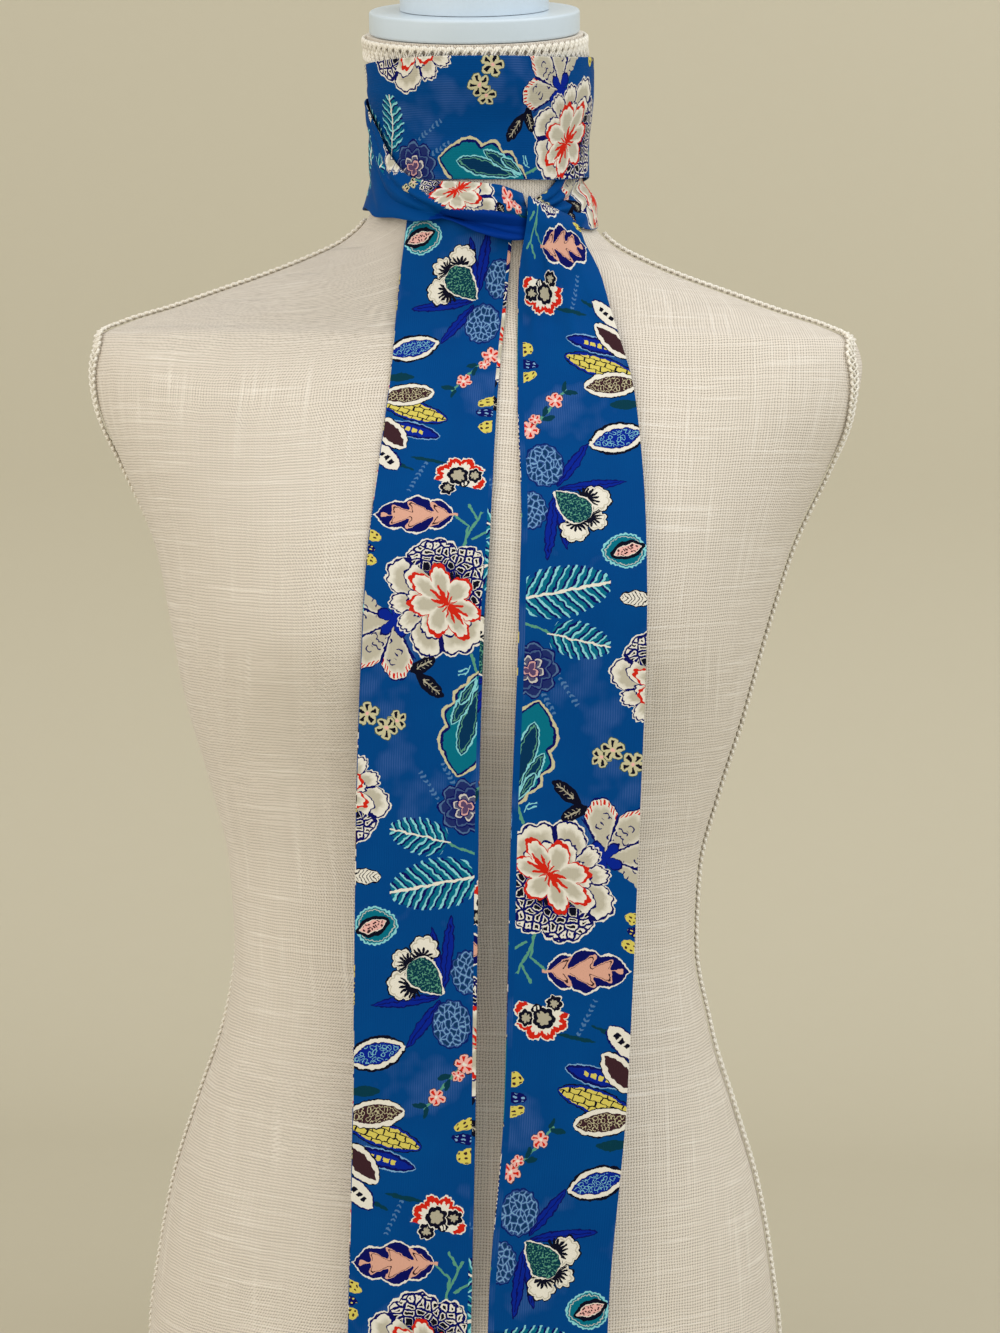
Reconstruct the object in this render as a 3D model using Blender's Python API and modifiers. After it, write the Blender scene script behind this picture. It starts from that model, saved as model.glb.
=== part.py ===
# Skinny scarf, wound twice round the neck of a limbless dress form and tied in a half knot.
# Metres, +Z up. The origin is at the middle of the flat base, the front faces -Y, +X is the viewer's right.
import math

import bmesh
import bpy
import numpy as np

MM = 0.001

# Driving dimensions of the scarf, in millimetres. It is a flat sewn tube, 60 wide, so its wall is two layers.
CLOTH_THICK = 1.2
TAIL_GAP = 0.75
SEAM_GAP = 0.3
LEFT_TAIL_END = 56.0
RIGHT_TAIL_END = 102.5

# Driving dimensions of the dress form, in millimetres
BASE_ROUND = 4.0
NECK_TOP = 719.0
NECK_TILT = math.radians(14.0)
TILT_START = 600.0
TILT_ROUNDS = 6
BUST_HEIGHT = 437.0
BUST_SIDE = 84.0
BUST_DEPTH = 19.0
BUST_SPREAD_SIDE = 40.0
BUST_SPREAD_UP = 56.0
BUST_SPREAD_DOWN = 38.0

# Gimp braid that covers the seams
GIMP_THICK = 2.4
GIMP_WIDTH = 8.0
GIMP_ACROSS = (-0.5, 0.0, 0.5)
NECK_GIMP_WIDTH = 12.0
NECK_GIMP_DOWN = (1.0, 0.5, 0.0)
TRIM_GAP = 0.3
SEAM_TRIM_GAP = 0.75

# Painted neck cap
CAP_RADIUS = 51.0
CAP_THICK = 11.0
CAP_ROUND = 1.5
CAP_ARC_POINTS = 4
KNOB_RADIUS = 36.0
KNOB_HEIGHT = 24.0
KNOB_ROUND = 7.0
KNOB_ARC_POINTS = 6
TURNED_SIDES = 48
TURNED_MERGE = 0.02

# Sections of the form from the base to the neck: widest half, depth to the front and to the back of the
# section's own centre, where that centre lies along Y and X, and how square the section is (2 is an ellipse)
FORM_COLUMNS = ("height", "half_width", "front", "back", "centre", "side", "squareness")
FORM_SECTIONS = (
    (0.0, 158.2, 99.0, 111.0, 0.0, 0.0, 2.25),
    (70.0, 158.8, 100.0, 112.0, 0.0, 0.0, 2.25),
    (110.0, 154.2, 98.0, 110.0, 0.0, 0.0, 2.25),
    (150.0, 146.8, 94.0, 104.0, 0.0, 0.0, 2.25),
    (190.0, 134.6, 88.0, 95.0, 0.0, 0.0, 2.25),
    (230.0, 121.8, 83.0, 84.0, 0.0, 0.0, 2.2),
    (270.0, 115.4, 80.0, 77.0, 0.0, -1.5, 2.2),
    (310.0, 117.4, 81.0, 77.0, 0.0, -2.4, 2.2),
    (350.0, 127.0, 85.0, 82.0, 0.0, -2.6, 2.2),
    (390.0, 138.8, 91.0, 89.0, 0.0, -2.6, 2.25),
    (430.0, 147.8, 96.0, 94.0, 0.0, -1.4, 2.3),
    (470.0, 158.0, 94.0, 98.0, 0.0, 0.0, 2.3),
    (510.0, 175.4, 85.0, 98.0, 0.0, 0.0, 2.3),
    (540.0, 188.0, 75.0, 94.0, 0.0, 0.0, 2.3),
    (560.0, 191.8, 67.0, 88.0, 0.0, 0.0, 2.2),
    (572.0, 188.5, 62.5, 82.0, 0.0, 0.0, 2.1),
    (579.0, 174.0, 60.0, 78.0, 0.0, 0.0, 2.0),
    (587.0, 149.0, 58.5, 75.0, 0.0, 0.0, 2.0),
    (595.0, 126.0, 57.5, 71.5, 0.0, 0.0, 2.0),
    (603.0, 103.0, 57.0, 67.5, 0.0, 0.0, 2.0),
    (611.0, 83.0, 57.0, 63.5, 0.0, 0.4, 2.0),
    (619.0, 67.0, 57.0, 60.0, -1.0, 1.4, 2.0),
    (628.0, 57.0, 56.0, 57.0, -3.0, 2.4, 2.0),
    (636.0, 52.0, 55.0, 55.0, -5.5, 2.6, 2.0),
    (648.0, 49.2, 54.0, 53.5, -8.5, 2.6, 2.0),
    (665.0, 49.0, 53.5, 53.0, -12.5, 2.6, 2.0),
    (690.0, 51.5, 53.5, 52.5, -18.5, 2.6, 2.0),
    (720.0, 52.5, 53.5, 52.5, -26.0, 1.4, 2.0),
    (740.0, 52.5, 53.5, 52.5, -31.0, 1.0, 2.0),
)

# The two turns round the neck as one strip. The angle runs on from the knot under the right side, round the
# back, over the front of the neck at 360 degrees, round the back again and over the left side to the knot.
# The middle and the half height place the strip, the lifts hold its two edges off the neck, the folds are how
# far its gathered upper and lower parts bulge, and the groove is where across the width these two meet.
TURN_COLUMNS = ("angle", "middle", "half_height", "lift_top", "lift_low", "fold_top", "fold_low", "groove")
TURN_STATIONS = (
    (34.0, 631.5, 5.0, 2.0, 2.0, 0.6, 0.4, 0.0),
    (50.0, 635.5, 9.5, 1.6, 1.8, 0.8, 1.0, 0.0),
    (62.0, 640.0, 16.0, 1.3, 1.6, 0.6, 2.8, -0.05),
    (75.0, 647.0, 22.0, 1.2, 1.5, 0.0, 5.0, -0.12),
    (90.0, 655.0, 27.5, 1.2, 1.4, 0.0, 5.4, -0.18),
    (105.0, 656.0, 28.4, 1.2, 1.2, 0.0, 3.0, -0.18),
    (130.0, 657.0, 28.5, 1.2, 1.2, 0.0, 0.0, -0.18),
    (180.0, 660.0, 28.5, 1.2, 1.2, 0.0, 0.0, 0.0),
    (230.0, 667.0, 28.5, 1.2, 1.2, 0.0, 0.0, 0.0),
    (270.0, 673.5, 28.5, 1.2, 1.2, 0.0, 0.0, 0.0),
    (282.0, 674.0, 28.4, 1.5, 1.2, 0.0, 0.0, 0.0),
    (294.0, 674.0, 28.4, 4.1, 1.2, 0.0, 0.0, 0.0),
    (304.0, 674.0, 28.4, 4.4, 1.2, 0.0, 0.0, 0.0),
    (360.0, 674.0, 28.4, 4.4, 1.2, 0.0, 0.0, 0.0),
    (390.0, 674.6, 28.4, 4.4, 1.8, 0.0, 0.0, 0.0),
    (410.0, 675.6, 28.3, 4.5, 3.6, 0.0, 0.0, 0.0),
    (430.0, 677.6, 28.2, 4.6, 4.6, 0.0, 0.0, 0.0),
    (450.0, 679.4, 28.1, 4.6, 4.8, 0.0, 0.0, 0.0),
    (470.0, 678.5, 28.3, 3.0, 3.0, 0.0, 0.0, 0.0),
    (500.0, 676.0, 28.5, 3.0, 3.0, 0.0, 0.0, 0.0),
    (540.0, 672.0, 28.5, 3.0, 3.0, 0.0, 0.0, 0.0),
    (585.0, 665.0, 28.4, 3.0, 3.0, 0.0, 0.0, 0.0),
    (630.0, 661.0, 27.8, 3.0, 4.2, 0.0, 0.0, 0.0),
    (645.0, 658.8, 26.2, 4.3, 4.4, 0.4, 0.0, 0.0),
    (660.0, 650.5, 22.0, 3.9, 4.2, 1.5, 0.6, -0.05),
    (672.0, 641.6, 17.0, 3.1, 4.2, 2.6, 1.4, -0.1),
    (690.0, 635.0, 11.8, 2.9, 4.8, 3.8, 2.2, -0.15),
    (705.0, 632.4, 12.6, 3.0, 5.2, 4.6, 2.8, -0.22),
    (720.0, 631.0, 13.5, 3.0, 5.2, 5.0, 3.0, -0.3),
    (735.0, 629.6, 14.0, 3.0, 5.0, 4.6, 2.8, -0.36),
    (748.0, 628.0, 11.8, 3.4, 4.2, 1.6, 1.0, -0.4),
)
TURN_BREAKS = (34.0, 180.0, 540.0, 748.0)
TURN_NODES = ("scarf_turn_right", "scarf_front_band", "scarf_turn_left")
TURN_SPLITS = (10, 6, 10)
TURN_STEP = 7.5
TURN_BACK_HEIGHT = 660.0
LIFT_FROM = -0.1
LIFT_TO = 0.65

# The fold of the knot, from its ridge down to the head of the right tail: both side edges and their lift
KNOT_COLUMNS = ("step", "left_x", "left_z", "left_lift", "right_x", "right_z", "right_lift", "bulge")
KNOT_STATIONS = (
    (0.0, 31.4, 636.4, 4.8, 50.6, 627.6, 4.4, 0.0),
    (0.12, 31.2, 638.0, 6.4, 51.4, 629.2, 5.8, 0.4),
    (0.25, 31.0, 636.2, 8.0, 52.6, 627.4, 7.0, 1.6),
    (0.6, 30.8, 628.0, 8.6, 54.8, 623.6, 7.4, 3.0),
    (1.0, 29.6, 618.6, 7.6, 56.6, 619.2, 6.0, 2.4),
)
KNOT_ROWS = 10
KNOT_SPLITS = 8

# The two tails: where each edge hangs, from the knot down
TAIL_COLUMNS = ("height", "left_x", "right_x")
LEFT_TAIL = (
    (624.0, -27.4, 23.6),
    (615.0, -28.6, 23.2),
    (588.0, -31.0, 21.4),
    (541.0, -33.2, 19.0),
    (476.0, -38.4, 18.4),
    (440.0, -40.2, 16.8),
    (346.0, -42.6, 15.2),
    (214.0, -43.0, 15.2),
    (103.0, -44.4, 14.2),
    (LEFT_TAIL_END, -44.6, 14.0),
)
RIGHT_TAIL = (
    (618.2, 29.6, 56.6),
    (602.0, 27.2, 65.4),
    (588.0, 26.8, 70.0),
    (541.0, 28.6, 84.4),
    (477.0, 33.0, 91.2),
    (440.0, 32.8, 92.2),
    (347.0, 30.4, 90.2),
    (216.0, 28.8, 86.2),
    (121.0, 22.6, 79.2),
    (RIGHT_TAIL_END, 22.2, 78.6),
)
TAIL_ROWS = 34
TAIL_SPLITS = 6
TAIL_STRAIGHTEN = 60.0
TAIL_STRAIGHTEST = 0.85

# Side seams: how far behind the section's centre each seam lies, from the base to the shoulder tip
SEAM_COLUMNS = ("height", "behind")
SIDE_SEAM = (
    (7.0, 0.0),
    (200.0, 3.0),
    (270.0, 8.0),
    (430.0, 8.0),
    (500.0, 0.0),
    (545.0, -18.0),
    (563.0, -20.0),
    (572.0, -14.0),
    (576.0, -6.0),
)
SHOULDER_SEAM = (
    (576.6, -5.0),
    (584.0, 0.0),
)
SHOULDER_END_LEFT = 630.0
SHOULDER_END_RIGHT = 624.0
SHOULDER_ROWS = 18

# Rows of the side braids: even on the long side, closer where the shoulder tip curves
SIDE_ROW_COLUMNS = ("start", "end", "rows")
SIDE_ROWS = (
    (7.0, 540.0, 34),
    (546.0, 576.0, 16),
)

# Colour and roughness of each material
PAINTS = {
    "scarf_cloth": ((0.02, 0.10, 0.33), 0.5),
    "linen": ((0.62, 0.55, 0.43), 0.9),
    "gimp": ((0.70, 0.64, 0.52), 0.8),
    "cap_paint": ((0.72, 0.76, 0.76), 0.35),
}

# How finely the form is cut: sides round it, and rows between two sections of the table
AROUND = 48
TORSO_ROW_SPLITS = 2
NECK_ROW_SPLITS = 3
NECK_START = 612.0

# Small steps that slopes are taken over, rounds of the search for a lifted point, and how near to the side
# edge a section is read
ANGLE_STEP = 0.01
LENGTH_STEP = 0.5
LIFT_ROUNDS = 5
SIDE_LIMIT = 0.999


def columns(rows, names):
    """Turn a table of rows into one array for each named column."""
    table = np.array(rows, dtype=float)
    return {name: table[:, place] for place, name in enumerate(names)}


def smooth(at, known, values):
    """Cubic curve through the known values that never swings past them, read at the given places."""
    steps = np.diff(values) / np.diff(known)
    both = steps[:-1] * steps[1:]
    total = np.where(both > 0, steps[:-1] + steps[1:], 1.0)
    inner = np.where(both > 0, 2.0 * both / total, 0.0)
    slopes = np.concatenate([steps[:1], inner, steps[-1:]])
    at = np.clip(at, known[0], known[-1])
    left = np.clip(np.searchsorted(known, at, side="right") - 1, 0, len(known) - 2)
    span = known[left + 1] - known[left]
    t = (at - known[left]) / span
    start = values[left] * (1 + 2 * t) * (1 - t) ** 2 + slopes[left] * span * t * (1 - t) ** 2
    end = values[left + 1] * t * t * (3 - 2 * t) - slopes[left + 1] * span * t * t * (1 - t)
    return start + end


FORM = columns(FORM_SECTIONS, FORM_COLUMNS)
TURN = columns(TURN_STATIONS, TURN_COLUMNS)
KNOT = columns(KNOT_STATIONS, KNOT_COLUMNS)
SEAM = columns(SIDE_SEAM, SEAM_COLUMNS)
SHOULDER = columns(SHOULDER_SEAM, SEAM_COLUMNS)


def form_value(name, height):
    return smooth(height, FORM["height"], FORM[name])


def bust(x, z):
    """How far the two soft mounds of the bust stand forward of the plain section."""
    spread = np.where(z > BUST_HEIGHT, BUST_SPREAD_UP, BUST_SPREAD_DOWN)
    rise = np.exp(-0.5 * ((z - BUST_HEIGHT) / spread) ** 2)
    side = np.exp(-0.5 * ((np.abs(x) - BUST_SIDE) / BUST_SPREAD_SIDE) ** 2)
    return BUST_DEPTH * rise * side


def form_point(angle, z):
    """Point of the form's surface at an angle from the front and a height, in millimetres."""
    power = 2.0 / form_value("squareness", z)
    across = np.sin(angle)
    along = np.cos(angle)
    x = form_value("side", z) + form_value("half_width", z) * np.sign(across) * np.abs(across) ** power
    reach = np.sign(along) * np.abs(along) ** power
    depth = np.where(along > 0, form_value("front", z) + bust(x, z), form_value("back", z))
    y = form_value("centre", z) - depth * reach
    return np.stack([x, y, np.broadcast_to(z, x.shape)], axis=-1)


def form_normal(angle, z):
    """Outward normal of the form's surface, from two small steps on it."""
    round_step = form_point(angle + ANGLE_STEP, z) - form_point(angle - ANGLE_STEP, z)
    up_step = form_point(angle, z + LENGTH_STEP) - form_point(angle, z - LENGTH_STEP)
    normal = np.cross(round_step, up_step)
    return normal / np.linalg.norm(normal, axis=-1, keepdims=True)


def form_front(x, z):
    """How far forward of y = 0 the form's front surface lies at a side place and a height."""
    square = form_value("squareness", z)
    part = np.clip(np.abs(x - form_value("side", z)) / form_value("half_width", z), 0.0, SIDE_LIMIT)
    reach = (1.0 - part ** square) ** (1.0 / square)
    return (form_value("front", z) + bust(x, z)) * reach - form_value("centre", z)


def lifted_front(x, z, lift):
    """Point at the given side place and height, held off the front of the form along its normal."""
    step = LENGTH_STEP
    base_x = x
    base_z = z
    for _ in range(LIFT_ROUNDS):
        slope_x = (form_front(base_x + step, base_z) - form_front(base_x - step, base_z)) / (2 * step)
        slope_z = (form_front(base_x, base_z + step) - form_front(base_x, base_z - step)) / (2 * step)
        length = np.sqrt(1 + slope_x ** 2 + slope_z ** 2)
        base_x = x + lift * slope_x / length
        base_z = z + lift * slope_z / length
    return np.stack([x, -form_front(base_x, base_z) - lift / length, z], axis=-1)


def form_side(y, z):
    """How far out to the side the form's surface lies at a depth and a height."""
    square = form_value("squareness", z)
    ahead = form_value("centre", z) - y
    depth = np.where(ahead > 0, form_value("front", z), form_value("back", z))
    part = np.clip(np.abs(ahead) / depth, 0.0, SIDE_LIMIT)
    return form_value("half_width", z) * (1.0 - part ** square) ** (1.0 / square)


def tilt_height(angle, z):
    """Height on the neck after the rows have been tilted towards the front, fully so at the neck's top."""
    blend = np.clip((z - TILT_START) / (NECK_TOP - TILT_START), 0.0, 1.0)
    blend = blend * blend * (3.0 - 2.0 * blend)
    tilted = z
    for _ in range(TILT_ROUNDS):
        away = form_point(angle, tilted)[..., 1] - form_value("centre", z)
        tilted = z + math.tan(NECK_TILT) * blend * away
    return tilted


def paint(name):
    """A plain material for one kind of surface."""
    colour, roughness = PAINTS[name]
    material = bpy.data.materials.new(name)
    material.use_nodes = True
    shader = material.node_tree.nodes["Principled BSDF"]
    shader.inputs["Base Color"].default_value = (*colour, 1.0)
    shader.inputs["Roughness"].default_value = roughness
    material.diffuse_color = (*colour, 1.0)
    return material


def add_object(name, mesh, material):
    """Put a mesh in the scarf's collection as an object with its own material."""
    mesh.materials.append(material)
    piece = bpy.data.objects.new(name, mesh)
    PARTS.objects.link(piece)
    return piece


def grid_mesh(name, points, closed=False):
    """Open surface through a grid of points in millimetres; closed joins the last row to the first."""
    rows, splits = points.shape[:2]
    build = bmesh.new()
    verts = [build.verts.new(tuple(point * MM)) for point in points.reshape(-1, 3)]
    last = rows if closed else rows - 1
    for row in range(last):
        following = (row + 1) % rows
        for split in range(splits - 1):
            corners = (
                verts[row * splits + split],
                verts[following * splits + split],
                verts[following * splits + split + 1],
                verts[row * splits + split + 1],
            )
            build.faces.new(corners)
    mesh = bpy.data.meshes.new(name)
    build.to_mesh(mesh)
    build.free()
    mesh.shade_smooth()
    return mesh


def add_sheet(name, points, material, thick, offset, closed=False):
    """A wall of even thickness on a grid; the offset is 0 for the middle and 1 for all on the outer side."""
    piece = add_object(name, grid_mesh(name, points, closed), material)
    wall = piece.modifiers.new("wall", "SOLIDIFY")
    wall.thickness = thick * MM
    wall.offset = offset
    wall.use_even_offset = False
    return piece


def make_form(material):
    """The torso: rings of the sections from the rounded base edge to the tilted top of the neck."""
    known = FORM["height"]
    heights = [0.0, BASE_ROUND]
    for low, high in zip(known[:-1], known[1:]):
        splits = NECK_ROW_SPLITS if low >= NECK_START else TORSO_ROW_SPLITS
        for split in range(splits):
            height = low + (high - low) * (split + 1) / splits
            if BASE_ROUND < height < NECK_TOP:
                heights.append(height)
    heights.append(NECK_TOP)
    angles = np.arange(AROUND) * 2.0 * math.pi / AROUND
    build = bmesh.new()
    rings = []
    for height in heights:
        level = tilt_height(angles, np.full(AROUND, height))
        points = form_point(angles, level)
        if height == 0.0:
            lengths = np.linalg.norm(points[:, :2], axis=1, keepdims=True)
            points[:, :2] *= 1.0 - BASE_ROUND / lengths
        rings.append([build.verts.new(tuple(point * MM)) for point in points])
    for lower, upper in zip(rings[:-1], rings[1:]):
        for place in range(AROUND):
            following = (place + 1) % AROUND
            build.faces.new((lower[place], lower[following], upper[following], upper[place]))
    build.faces.new(list(reversed(rings[0])))
    build.faces.new(rings[-1])
    mesh = bpy.data.meshes.new("form_body")
    bmesh.ops.recalc_face_normals(build, faces=build.faces[:])
    build.to_mesh(mesh)
    build.free()
    mesh.shade_smooth()
    return add_object("form_body", mesh, material)


def turn_point(angle, across):
    """Point of the wound strip: angle in degrees along it, across from -1 at its low edge to 1 at its top."""
    value = {name: smooth(angle, TURN["angle"], TURN[name]) for name in TURN_COLUMNS[1:]}
    z = value["middle"] + value["half_height"] * across
    rise = np.clip((across - LIFT_FROM) / (LIFT_TO - LIFT_FROM), 0.0, 1.0)
    rise = rise * rise * (3.0 - 2.0 * rise)
    lift = value["lift_low"] + (value["lift_top"] - value["lift_low"]) * rise
    upper = (across - value["groove"]) / (1.0 - value["groove"])
    lower = (value["groove"] - across) / (1.0 + value["groove"])
    bulge = np.where(
        across > value["groove"],
        value["fold_top"] * np.sin(math.pi * np.clip(upper, 0.0, 1.0)),
        value["fold_low"] * np.sin(math.pi * np.clip(lower, 0.0, 1.0)),
    )
    turn = np.radians(angle)
    return form_point(turn, z) + form_normal(turn, z) * (lift + bulge)[..., None]


def make_turns(material):
    """The strip wound twice round the neck, in the three stretches that show."""
    for name, start, end, splits in zip(TURN_NODES, TURN_BREAKS[:-1], TURN_BREAKS[1:], TURN_SPLITS):
        trim = math.degrees(SEAM_GAP / 2 / form_value("back", np.array(TURN_BACK_HEIGHT)))
        first = start + (trim if start != TURN_BREAKS[0] else 0.0)
        last = end - (trim if end != TURN_BREAKS[-1] else 0.0)
        count = int(round((last - first) / TURN_STEP)) + 1
        along = np.linspace(first, last, count)
        angle, across = np.meshgrid(along, np.linspace(-1, 1, splits + 1), indexing="ij")
        add_sheet(name, turn_point(angle, across), material, CLOTH_THICK, 0.0)


def knot_point(step, across):
    """Point of the knot's fold: step 0 at its hidden edge to 1 at the tail, across from left 0 to right 1."""
    value = {name: smooth(step, KNOT["step"], KNOT[name]) for name in KNOT_COLUMNS[1:]}
    x = value["left_x"] + (value["right_x"] - value["left_x"]) * across
    z = value["left_z"] + (value["right_z"] - value["left_z"]) * across
    lift = value["left_lift"] + (value["right_lift"] - value["left_lift"]) * across
    lift = lift + value["bulge"] * np.sin(math.pi * across)
    return lifted_front(x, z, lift)


def make_knot(material):
    """The fold that comes over the front of the half knot."""
    rows = np.linspace(0, 1, KNOT_ROWS + 1)
    step, across = np.meshgrid(rows, np.linspace(0, 1, KNOT_SPLITS + 1), indexing="ij")
    return add_sheet("scarf_knot", knot_point(step, across), material, CLOTH_THICK, 0.0)


def tail_points(table, head):
    """Hanging cloth: each column of points falls straight down and never closer to the form than its gap.
    The head is the depth of the first row, as far as it is already held off the form."""
    tail = columns(table[::-1], TAIL_COLUMNS)
    top = table[0][0]
    low = table[-1][0]
    z, across = np.meshgrid(np.linspace(top, low, TAIL_ROWS), np.linspace(0, 1, TAIL_SPLITS + 1), indexing="ij")
    left = smooth(z, tail["height"], tail["left_x"])
    right = smooth(z, tail["height"], tail["right_x"])
    x = left + (right - left) * across
    front = form_front(x, z) + TAIL_GAP + CLOTH_THICK / 2
    straight = np.clip((top - z) / TAIL_STRAIGHTEN, 0.0, TAIL_STRAIGHTEST)
    front = front + (front.max(axis=1, keepdims=True) - front) * straight
    front[0] = np.maximum(front[0], head)
    depth = np.maximum.accumulate(front, axis=0)
    return np.stack([x, -depth, z], axis=-1)


def make_tails(material):
    """The two ends that hang from the knot."""
    across = np.linspace(0, 1, TAIL_SPLITS + 1)
    below_knot = -knot_point(np.ones_like(across), across)[:, 1]
    add_sheet("scarf_tail_left", tail_points(LEFT_TAIL, np.zeros_like(across)), material, CLOTH_THICK, 0.0)
    add_sheet("scarf_tail_right", tail_points(RIGHT_TAIL, below_knot), material, CLOTH_THICK, 0.0)


def seam_points(heights, side, behind):
    """A flat braid on the side of the form: rows along the seam, three points across."""
    z, across = np.meshgrid(heights, np.array(GIMP_ACROSS), indexing="ij")
    y = form_value("centre", z) + behind[:, None] + across * GIMP_WIDTH
    x = form_value("side", z) + side * form_side(y, z)
    step = LENGTH_STEP
    slope_z = (form_side(y, z + step) - form_side(y, z - step)) / (2 * step)
    slope_y = (form_side(y + step, z) - form_side(y - step, z)) / (2 * step)
    normal = np.stack([np.full_like(z, side), -slope_y, -slope_z], axis=-1)
    normal /= np.linalg.norm(normal, axis=-1, keepdims=True)
    points = np.stack([x, y, z], axis=-1) + normal * SEAM_TRIM_GAP
    return points[:, ::-1] if side > 0 else points


def make_braids(material):
    """Gimp braid over the side seams, the shoulder seams and the top of the neck."""
    side_heights = np.concatenate([np.linspace(start, end, rows) for start, end, rows in SIDE_ROWS])
    behind = smooth(side_heights, SEAM["height"], SEAM["behind"])
    for label, side, end in (("left", -1.0, SHOULDER_END_LEFT), ("right", 1.0, SHOULDER_END_RIGHT)):
        add_sheet("side_braid_" + label, seam_points(side_heights, side, behind), material, GIMP_THICK, 1.0)
        along = np.linspace(SHOULDER_SEAM[0][0], end, SHOULDER_ROWS)
        shoulder_behind = np.interp(along, SHOULDER["height"], SHOULDER["behind"])
        shoulder = seam_points(along, side, shoulder_behind)
        add_sheet("shoulder_braid_" + label, shoulder, material, GIMP_THICK, 1.0)
    level = NECK_TOP - TRIM_GAP - NECK_GIMP_WIDTH * np.array(NECK_GIMP_DOWN)
    turn, nominal = np.meshgrid(np.arange(AROUND) * 2.0 * math.pi / AROUND, level, indexing="ij")
    height = tilt_height(turn, nominal)
    ring = form_point(turn, height) + form_normal(turn, height) * TRIM_GAP
    add_sheet("neck_braid", ring, material, GIMP_THICK, 1.0, closed=True)


def turned(name, profile, material, lift):
    """A turned shape round the tilted axis of the neck, from a profile of radius and height."""
    curve = bmesh.new()
    verts = [curve.verts.new((radius * MM, 0.0, height * MM)) for radius, height in profile]
    for above, below in zip(verts[:-1], verts[1:]):
        curve.edges.new((above, below))
    mesh = bpy.data.meshes.new(name)
    curve.to_mesh(mesh)
    curve.free()
    piece = add_object(name, mesh, material)
    screw = piece.modifiers.new("turn", "SCREW")
    screw.steps = TURNED_SIDES
    screw.render_steps = TURNED_SIDES
    screw.use_merge_vertices = True
    screw.merge_threshold = TURNED_MERGE * MM
    centre_x = float(form_value("side", np.array(NECK_TOP)))
    centre_y = float(form_value("centre", np.array(NECK_TOP)))
    axis = (0.0, -math.sin(NECK_TILT), math.cos(NECK_TILT))
    piece.location = (centre_x * MM, (centre_y + lift * axis[1]) * MM, (NECK_TOP + lift * axis[2]) * MM)
    piece.rotation_euler = (NECK_TILT, 0.0, 0.0)
    return piece


def arc(centre_radius, centre_height, radius, start, end, count):
    """Points of a rounded edge, from one angle to another."""
    angles = np.radians(np.linspace(start, end, count))
    return [(centre_radius + radius * math.cos(a), centre_height + radius * math.sin(a)) for a in angles]


def make_cap(material):
    """The painted disc that closes the neck and the plain knob above it."""
    disc = [(0.0, CAP_THICK)]
    disc += arc(CAP_RADIUS - CAP_ROUND, CAP_THICK - CAP_ROUND, CAP_ROUND, 90, 0, CAP_ARC_POINTS)
    disc += arc(CAP_RADIUS - CAP_ROUND, CAP_ROUND, CAP_ROUND, 0, -90, CAP_ARC_POINTS)
    disc += [(0.0, 0.0)]
    turned("neck_cap", disc, material, TRIM_GAP)
    knob = [(0.0, KNOB_HEIGHT)]
    knob += arc(KNOB_RADIUS - KNOB_ROUND, KNOB_HEIGHT - KNOB_ROUND, KNOB_ROUND, 90, 0, KNOB_ARC_POINTS)
    knob += [(KNOB_RADIUS, 0.0), (0.0, 0.0)]
    turned("neck_knob", knob, material, TRIM_GAP + CAP_THICK + SEAM_GAP)


for old in list(bpy.data.objects):
    bpy.data.objects.remove(old)
PARTS = bpy.data.collections.new("skinny_scarf")
bpy.context.scene.collection.children.link(PARTS)

make_form(paint("linen"))
make_braids(paint("gimp"))
make_cap(paint("cap_paint"))
SCARF_CLOTH = paint("scarf_cloth")
make_turns(SCARF_CLOTH)
make_knot(SCARF_CLOTH)
make_tails(SCARF_CLOTH)
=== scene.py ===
# %% [markdown]
# A skinny scarf wound twice round the neck of a limbless dress form and tied in a half knot.
# The scarf is one long flat tube of printed chiffon. The form is a padded torso under natural linen, with
# cream gimp braid over its seams and a painted wooden cap on the neck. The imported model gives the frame, and
# every piece below is worked out in millimetres on the same formulas and written out in metres.

# %% Load the frame
import math

import bpy
import numpy as np
from mathutils import Matrix, Vector


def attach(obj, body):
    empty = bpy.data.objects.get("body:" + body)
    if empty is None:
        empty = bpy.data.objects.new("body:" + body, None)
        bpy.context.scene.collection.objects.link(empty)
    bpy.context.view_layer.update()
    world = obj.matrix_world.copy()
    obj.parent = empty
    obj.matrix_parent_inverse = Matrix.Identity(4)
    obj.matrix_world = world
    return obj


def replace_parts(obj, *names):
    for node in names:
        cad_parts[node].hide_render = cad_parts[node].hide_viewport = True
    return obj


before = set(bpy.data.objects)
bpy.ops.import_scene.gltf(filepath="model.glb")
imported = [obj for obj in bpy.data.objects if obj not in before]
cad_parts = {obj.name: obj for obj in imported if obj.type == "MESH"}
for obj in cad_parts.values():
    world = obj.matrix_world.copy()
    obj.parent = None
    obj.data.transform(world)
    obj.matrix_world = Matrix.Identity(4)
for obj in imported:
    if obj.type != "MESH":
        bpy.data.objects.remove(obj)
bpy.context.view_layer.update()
MM = 0.001
print("nodes in the frame:", len(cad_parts))

# %% [markdown]
# The camera stands a little to the viewer's right of the middle and looks slightly down, as the photographer
# did. A long lens is used, because the form shows almost no perspective. The picture is 1000 by 1333, and a
# lens three times as long as its frame is wide makes a millimetre at the form about two of those thousand.

# %% Camera
CAMERA_AZIMUTH = math.radians(5.0)
CAMERA_PITCH = math.radians(4.0)
CAMERA_ROLL = math.radians(0.66)
CAMERA_DISTANCE = 1.5
AIM_SIDE = 0.015
AIM_HEIGHT = 0.410
FRAME_WIDTH = 36.0
LENS_LENGTH = 108.0


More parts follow.
